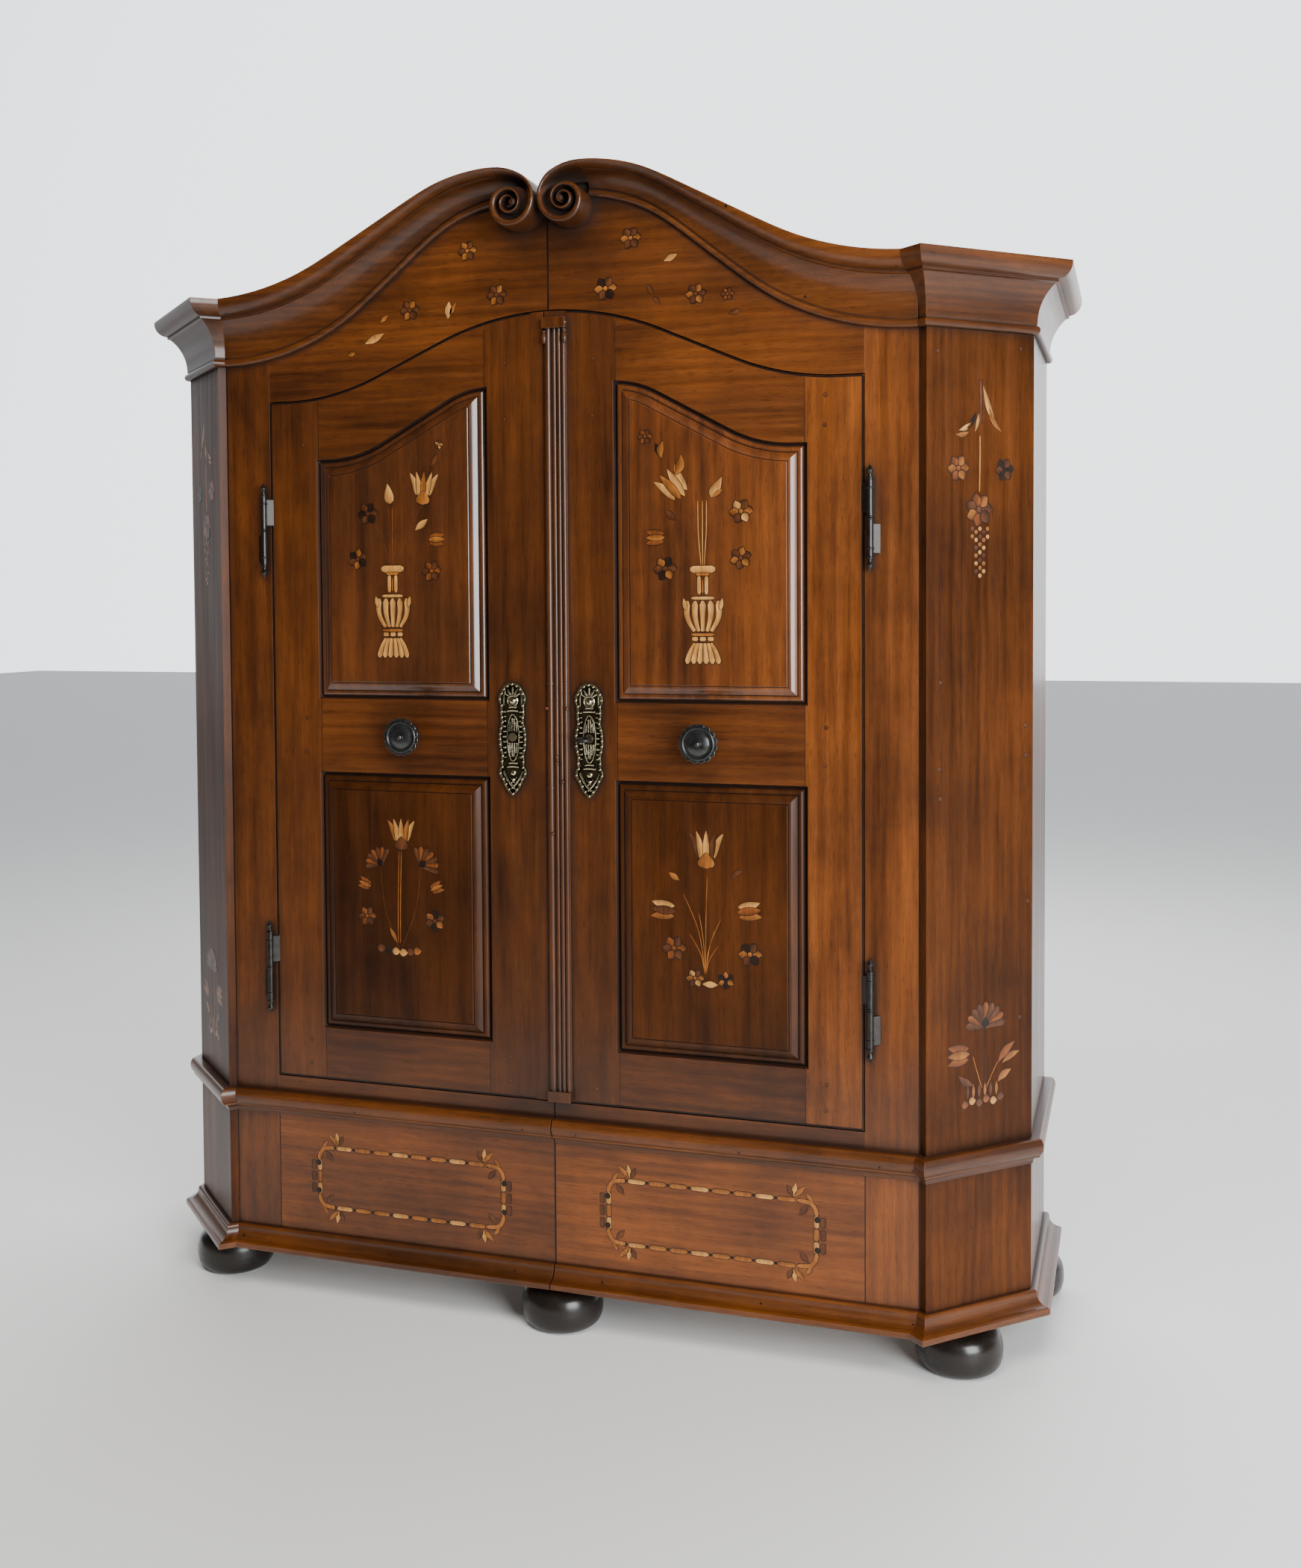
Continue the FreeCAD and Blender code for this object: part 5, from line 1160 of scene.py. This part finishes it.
# The feet: beech turned to flattened balls, blackened and waxed, and screwed
# under the bottom boards.
def metal_or_black(name, colour, dull, metallic, roughness, wear_colour, rub, grain=60.0, raised=None):
    """Cast, forged or blackened surface: worn arrises, hollows darkened with dirt and painted shade, and
    rubbed where raised.
    """
    material, tree, shader = new_finish(name)
    place = node(tree, "TexCoord").outputs["Object"]
    mottle = node(tree, "TexNoise", {"Vector": place, "Scale": grain, "Detail": 4.0, "Roughness": 0.6})
    wear = node(tree, "Group", node_tree=handling_and_shade)
    wear.inputs["Quirk"].default_value = 0.012
    wear.inputs["Arris"].default_value = 0.0012
    body = blend(tree, mottle.outputs["Fac"], (*dull, 1), (*colour, 1))
    rubbed = node(tree, "Math", {0: wear.outputs["Rubbed"], 1: rub}, operation="MULTIPLY")
    body = blend(tree, rubbed.outputs[0], body, (*wear_colour, 1))
    if raised:
        depth = node(tree, "SeparateXYZ", {"Vector": place}).outputs[1]
        high = node(tree, "MapRange", {"Value": depth, 1: raised[0], 2: raised[1]})
        body = blend(tree, high.outputs[0], body, (*raised[2], 1))
    # Hollows darkened by the occlusion mask: dirt and patina, and painted shade.
    body = blend(tree, wear.outputs["Dirt_And_Shade"], body, (0.006, 0.005, 0.004, 1))
    tree.links.new(body, shader.inputs["Base Color"])
    rough = node(tree, "MapRange", {"Value": mottle.outputs["Fac"], 1: 0.25, 2: 0.75,
                                    3: roughness - 0.08, 4: roughness + 0.12})
    tree.links.new(rough.outputs[0], shader.inputs["Roughness"])
    bump = node(tree, "Bump", {"Height": mottle.outputs["Fac"], "Normal": wear.outputs["Eased"],
                               "Strength": 0.25, "Distance": 0.0008})
    tree.links.new(bump.outputs[0], shader.inputs["Normal"])
    shader.inputs["Metallic"].default_value = metallic
    return material


dress("bun_feet", metal_or_black("blackened_feet", (0.015, 0.010, 0.007), (0.006, 0.004, 0.003), 0.0, 0.26,
                                 (0.05, 0.03, 0.02), 0.5, grain=22.0))


# The ironwork: hinges, lock, keep, key and shoot bolts, forged and filed,
# screwed or nailed on, and dark with wax and rust.
iron = metal_or_black("forged_iron", (0.085, 0.080, 0.075), (0.030, 0.027, 0.025), 0.9, 0.34,
                      (0.32, 0.31, 0.29), 0.8)
for name in ("frame_hinge_halves", "left_door_hinge_halves", "right_door_hinge_halves", "lock_case",
             "lock_bolt", "lock_keep", "key", "top_shoot_bolt", "bottom_shoot_bolt", "bolt_guides"):
    dress(name, iron)


# The hinge barrels: raised rings at the ends, along each half and where the two
# halves meet, turned with the barrel, and worn bright on the front by hands.
barrel_radius, ring_radius, ring_width = 0.006, 0.0076, 0.0035
hinge_x, hinge_y = 0.612, front_y - 0.010
barrel_half, knuckle_gap, pin_head = 0.073, 0.0003, 0.023
ring_bed, end_set_back, waist_place = 0.0008, 0.003, 0.054


def collar(mesh, side, level):
    """Round ring about the barrel."""
    outline = [(barrel_radius - ring_bed, -ring_width / 2)]
    for a in (math.pi * i / 6 for i in range(7)):
        reach = barrel_radius + (ring_radius - barrel_radius) * math.sin(a)
        outline.append((reach, -ring_width / 2 * math.cos(a)))
    outline.append((barrel_radius - ring_bed, ring_width / 2))
    turned(mesh, Vector((side * hinge_x, hinge_y, level)), (0, 0, 1), outline, sides=20)


for side, name in ((-1, "left"), (1, "right")):
    low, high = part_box(name + "_door_hinge_halves")
    knuckles = (high.z - pin_head - barrel_half, low.z - knuckle_gap)
    moving, standing = bmesh.new(), bmesh.new()
    for knuckle in knuckles:
        for rise in (ring_width / 2 + knuckle_gap, barrel_half - end_set_back, waist_place):
            collar(moving, side, knuckle + rise)
        for drop in (ring_width / 2, barrel_half - end_set_back, waist_place):
            collar(standing, side, knuckle - drop)
    settle(name + "_door_hinge_rings", moving, [iron], "door_" + name)
    settle(name + "_frame_hinge_rings", standing, [iron], "carcass")


# The lock plates and knobs: plates cast in brass and nailed on, knobs cast in
# pewter on iron pins, both gone dark in the hollows and bright where hands rub.
rim_foot, rim_top, rim_brass = front_y - 0.004, front_y - 0.007, (0.26, 0.21, 0.105)
brass_ground = metal_or_black("brass_ground", (0.13, 0.095, 0.042), (0.040, 0.030, 0.014), 0.9, 0.34,
                              (0.80, 0.70, 0.45), 1.0, raised=(rim_foot, rim_top, rim_brass))
brass_relief = metal_or_black("brass_relief", (0.74, 0.65, 0.42), (0.40, 0.32, 0.16), 1.0, 0.17,
                              (0.97, 0.92, 0.76), 1.0)
pewter = metal_or_black("cast_pewter", (0.13, 0.135, 0.13), (0.035, 0.036, 0.034), 0.9, 0.28,
                        (0.55, 0.56, 0.54), 1.0)
for side in ("left", "right"):
    dress(side + "_door_escutcheon", brass_ground)
    dress(side + "_door_knob", pewter)


# The casting's relief: a leaf and a boss at the head, collars, a long fluted
# shield round the keyhole between stacked lobes, a netted tip, and beads along
# the rim. It was cast in one with the plate, and filed up a little.
plate_face, rim_face = -0.0025, 0.0046
strand_height, button_bed, rod_sides = 0.0012, -0.0003, 8
head_boss = [(0.0115, 0), (0.0115, 0.0025), (0.010, 0.0035), (0.0085, 0.0025)]
rim_beads = [
    (0, 106), (9.5, 102.5), (16.5, 96.5), (22, 88), (25.5, 77), (22, 65), (21.8, 53), (21.6, 42),
    (20.6, 32.5), (23.6, 21), (25.6, 10), (26, 0), (25.6, -10), (23.6, -21), (20.6, -32.5),
    (21.8, -43), (21.6, -54), (25.6, -66), (19.4, -77), (14, -87), (8, -97), (0, -105.5),
]
side_lobes = [
    (53, 0.0026), (44, 0.0022), (35, 0.0026), (25, 0.0030), (15, 0.0024),
    (5, 0.0030), (-5, 0.0026), (-16, 0.0030), (-26, 0.0026), (-35, 0.0022),
]


def rod(mesh, points, radii):
    """Round rod through some points, as thick at each as the radius given for it."""
    rows = []
    for i, point in enumerate(points):
        ahead = points[min(i + 1, len(points) - 1)] - points[max(i - 1, 0)]
        aside = ahead.cross(Vector((0, 1, 0))).normalized()
        over = ahead.cross(aside).normalized()
        rows.append([mesh.verts.new(point + radii[i] * (aside * math.cos(a) + over * math.sin(a)))
                     for a in circle(rod_sides)])
    return stitch(mesh, rows)


def dome(radius, rise):
    """Outline of a half round button."""
    quarter = (math.pi / 2 * i / 6 for i in range(7))
    return [(radius, 0.0)] + [(radius * math.cos(a), rise * math.sin(a)) for a in quarter]


def plate_relief(mesh, middle):
    """Ornament of one lock plate, with places in millimetres from its middle."""
    def put(u, v, height):
        """Point of a place on the plate, raised by a height in metres."""
        return Vector((middle.x + u / 1000, front_y + plate_face - height, middle.z + v / 1000))

    def strand(places, thick, taper=0.6):
        """Round strand, thickest at its middle."""
        count = len(places)
        radii = [thick * (taper + (1 - taper) * math.sin(math.pi * i / (count - 1))) for i in range(count)]
        rod(mesh, [put(u, v, strand_height) for u, v in places], radii)

    def button(u, v, radius, rise, seat=button_bed):
        """Half round button."""
        turned(mesh, put(u, v, seat), (0, -1, 0), dome(radius, rise), sides=16)

    for a in (math.radians(angle) for angle in (30, 60, 90, 120, 150)):
        reach = 14 + 4 * math.sin(a)
        strand([((5 + reach * t) * math.cos(a), 81 + (2 + reach * t) * math.sin(a))
                for t in (0, 0.35, 0.7, 1)], 0.0025)
    turned(mesh, put(0, 74, 0), (0, -1, 0), head_boss)
    button(0, 74, 0.0078, 0.0075)
    for v, half in ((61, 8), (54, 12), (-47, 9), (-54, 12)):
        strand([(half * t, v + 1.5 * (1 - t * t)) for t in (-1, -0.5, 0, 0.5, 1)], 0.0030, 0.75)
    strand([(12.0 * math.cos(a), 3 + 45 * math.sin(a)) for a in circle(32) + [2 * math.pi]], 0.0018, 0.9)
    for u in (-7.5, -2.6, 2.6, 7.5):
        bow = math.sqrt(1 - (u / 12.0) ** 2) * 38
        strand([(u, 15), (u * 0.95, 15 + (bow - 12) * 0.5), (u * 0.7, 3 + bow)], 0.0023, 0.8)
        strand([(u, -7), (u * 0.95, -7 - (bow - 10) * 0.5), (u * 0.7, 3 - bow)], 0.0023, 0.8)
    for u, v in rim_beads:
        for hand in (-1, 1) if u else (1,):
            button(hand * u, v, 0.0029, 0.0022, rim_face)
    for hand in (-1, 1):
        for v, thick in side_lobes:
            strand([(hand * u, v - 0.02 * (u - 17) ** 2) for u in (13.6, 16.0, 18.4, 20.8)], thick, 0.7)
        strand([(hand * 19, 64), (hand * 18.5, 74), (hand * 18.5, 84), (hand * 15, 94)], 0.0026, 0.8)
        strand([(hand * 20, -62), (hand * 15, -73), (hand * 6, -86), (hand * -4, -96)], 0.0030, 0.8)
        strand([(hand * -7, -88), (hand * 2, -80), (hand * 7, -74)], 0.0015)
    button(0, -65, 0.0066, 0.0050)
    button(0, -78, 0.0040, 0.0046)


for side, name in ((-1, "left"), (1, "right")):
    low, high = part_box(name + "_door_escutcheon")
    mesh = bmesh.new()
    plate_relief(mesh, (low + high) / 2)
    settle(name + "_plate_relief", mesh, [brass_relief], "door_" + name)


# The astragal's turnings: a small capital and a vase at the head of its outer
# shafts, and beads lower down, turned and split and glued on the strip.
capital = [(4.5, -7), (4.5, -5.5), (3.4, -4.5), (3.4, -3), (5.6, -1.5), (5.6, 0), (6.2, 0.8), (6.2, 3)]
vase = [(3.0, -14), (4.2, -11), (5.2, -7), (5.4, -4), (4.6, 0), (3.2, 4), (2.8, 6), (4.2, 7), (4.2, 9),
        (2.8, 10)]
bead = [(2.2, -3.0), (3.4, -2.2), (4.2, 0), (3.4, 2.2), (2.2, 3.0)]
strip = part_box("astragal")
strip_front, strip_top = strip[0].y + 0.004, strip[1].z
strip_middle = (strip[0].x + strip[1].x) / 2
outer_shaft, turning_set = 0.0205, 0.002
capital_drop, vase_drop, bead_level = 0.012, 0.034, 1.205
small_beads = [(0.0, 1.112), (0.0, 1.100), (-0.0105, 0.965), (0.0105, 1.065)]


def shaft_turning(mesh, x, level, outline):
    """One turning on a shaft of the strip, by an outline in millimetres."""
    middle = Vector((strip_middle + x, strip_front + turning_set, level))
    turned(mesh, middle, (0, 0, 1), [(r / 1000, h / 1000) for r, h in outline], sides=20)


mesh = bmesh.new()
for x in (-outer_shaft, outer_shaft):
    shaft_turning(mesh, x, strip_top - capital_drop, capital)
    shaft_turning(mesh, x, strip_top - vase_drop, vase)
    shaft_turning(mesh, x, bead_level, bead)
for x, level in small_beads:
    shaft_turning(mesh, x, level, bead)
settle("astragal_turnings", mesh, [walnut("astragal_turnings", grain_up, (0.1, 0.2, 0.3), moulding_light,
                                          moulding_dark, coat=0.3, rub=0.4)], "door_right")
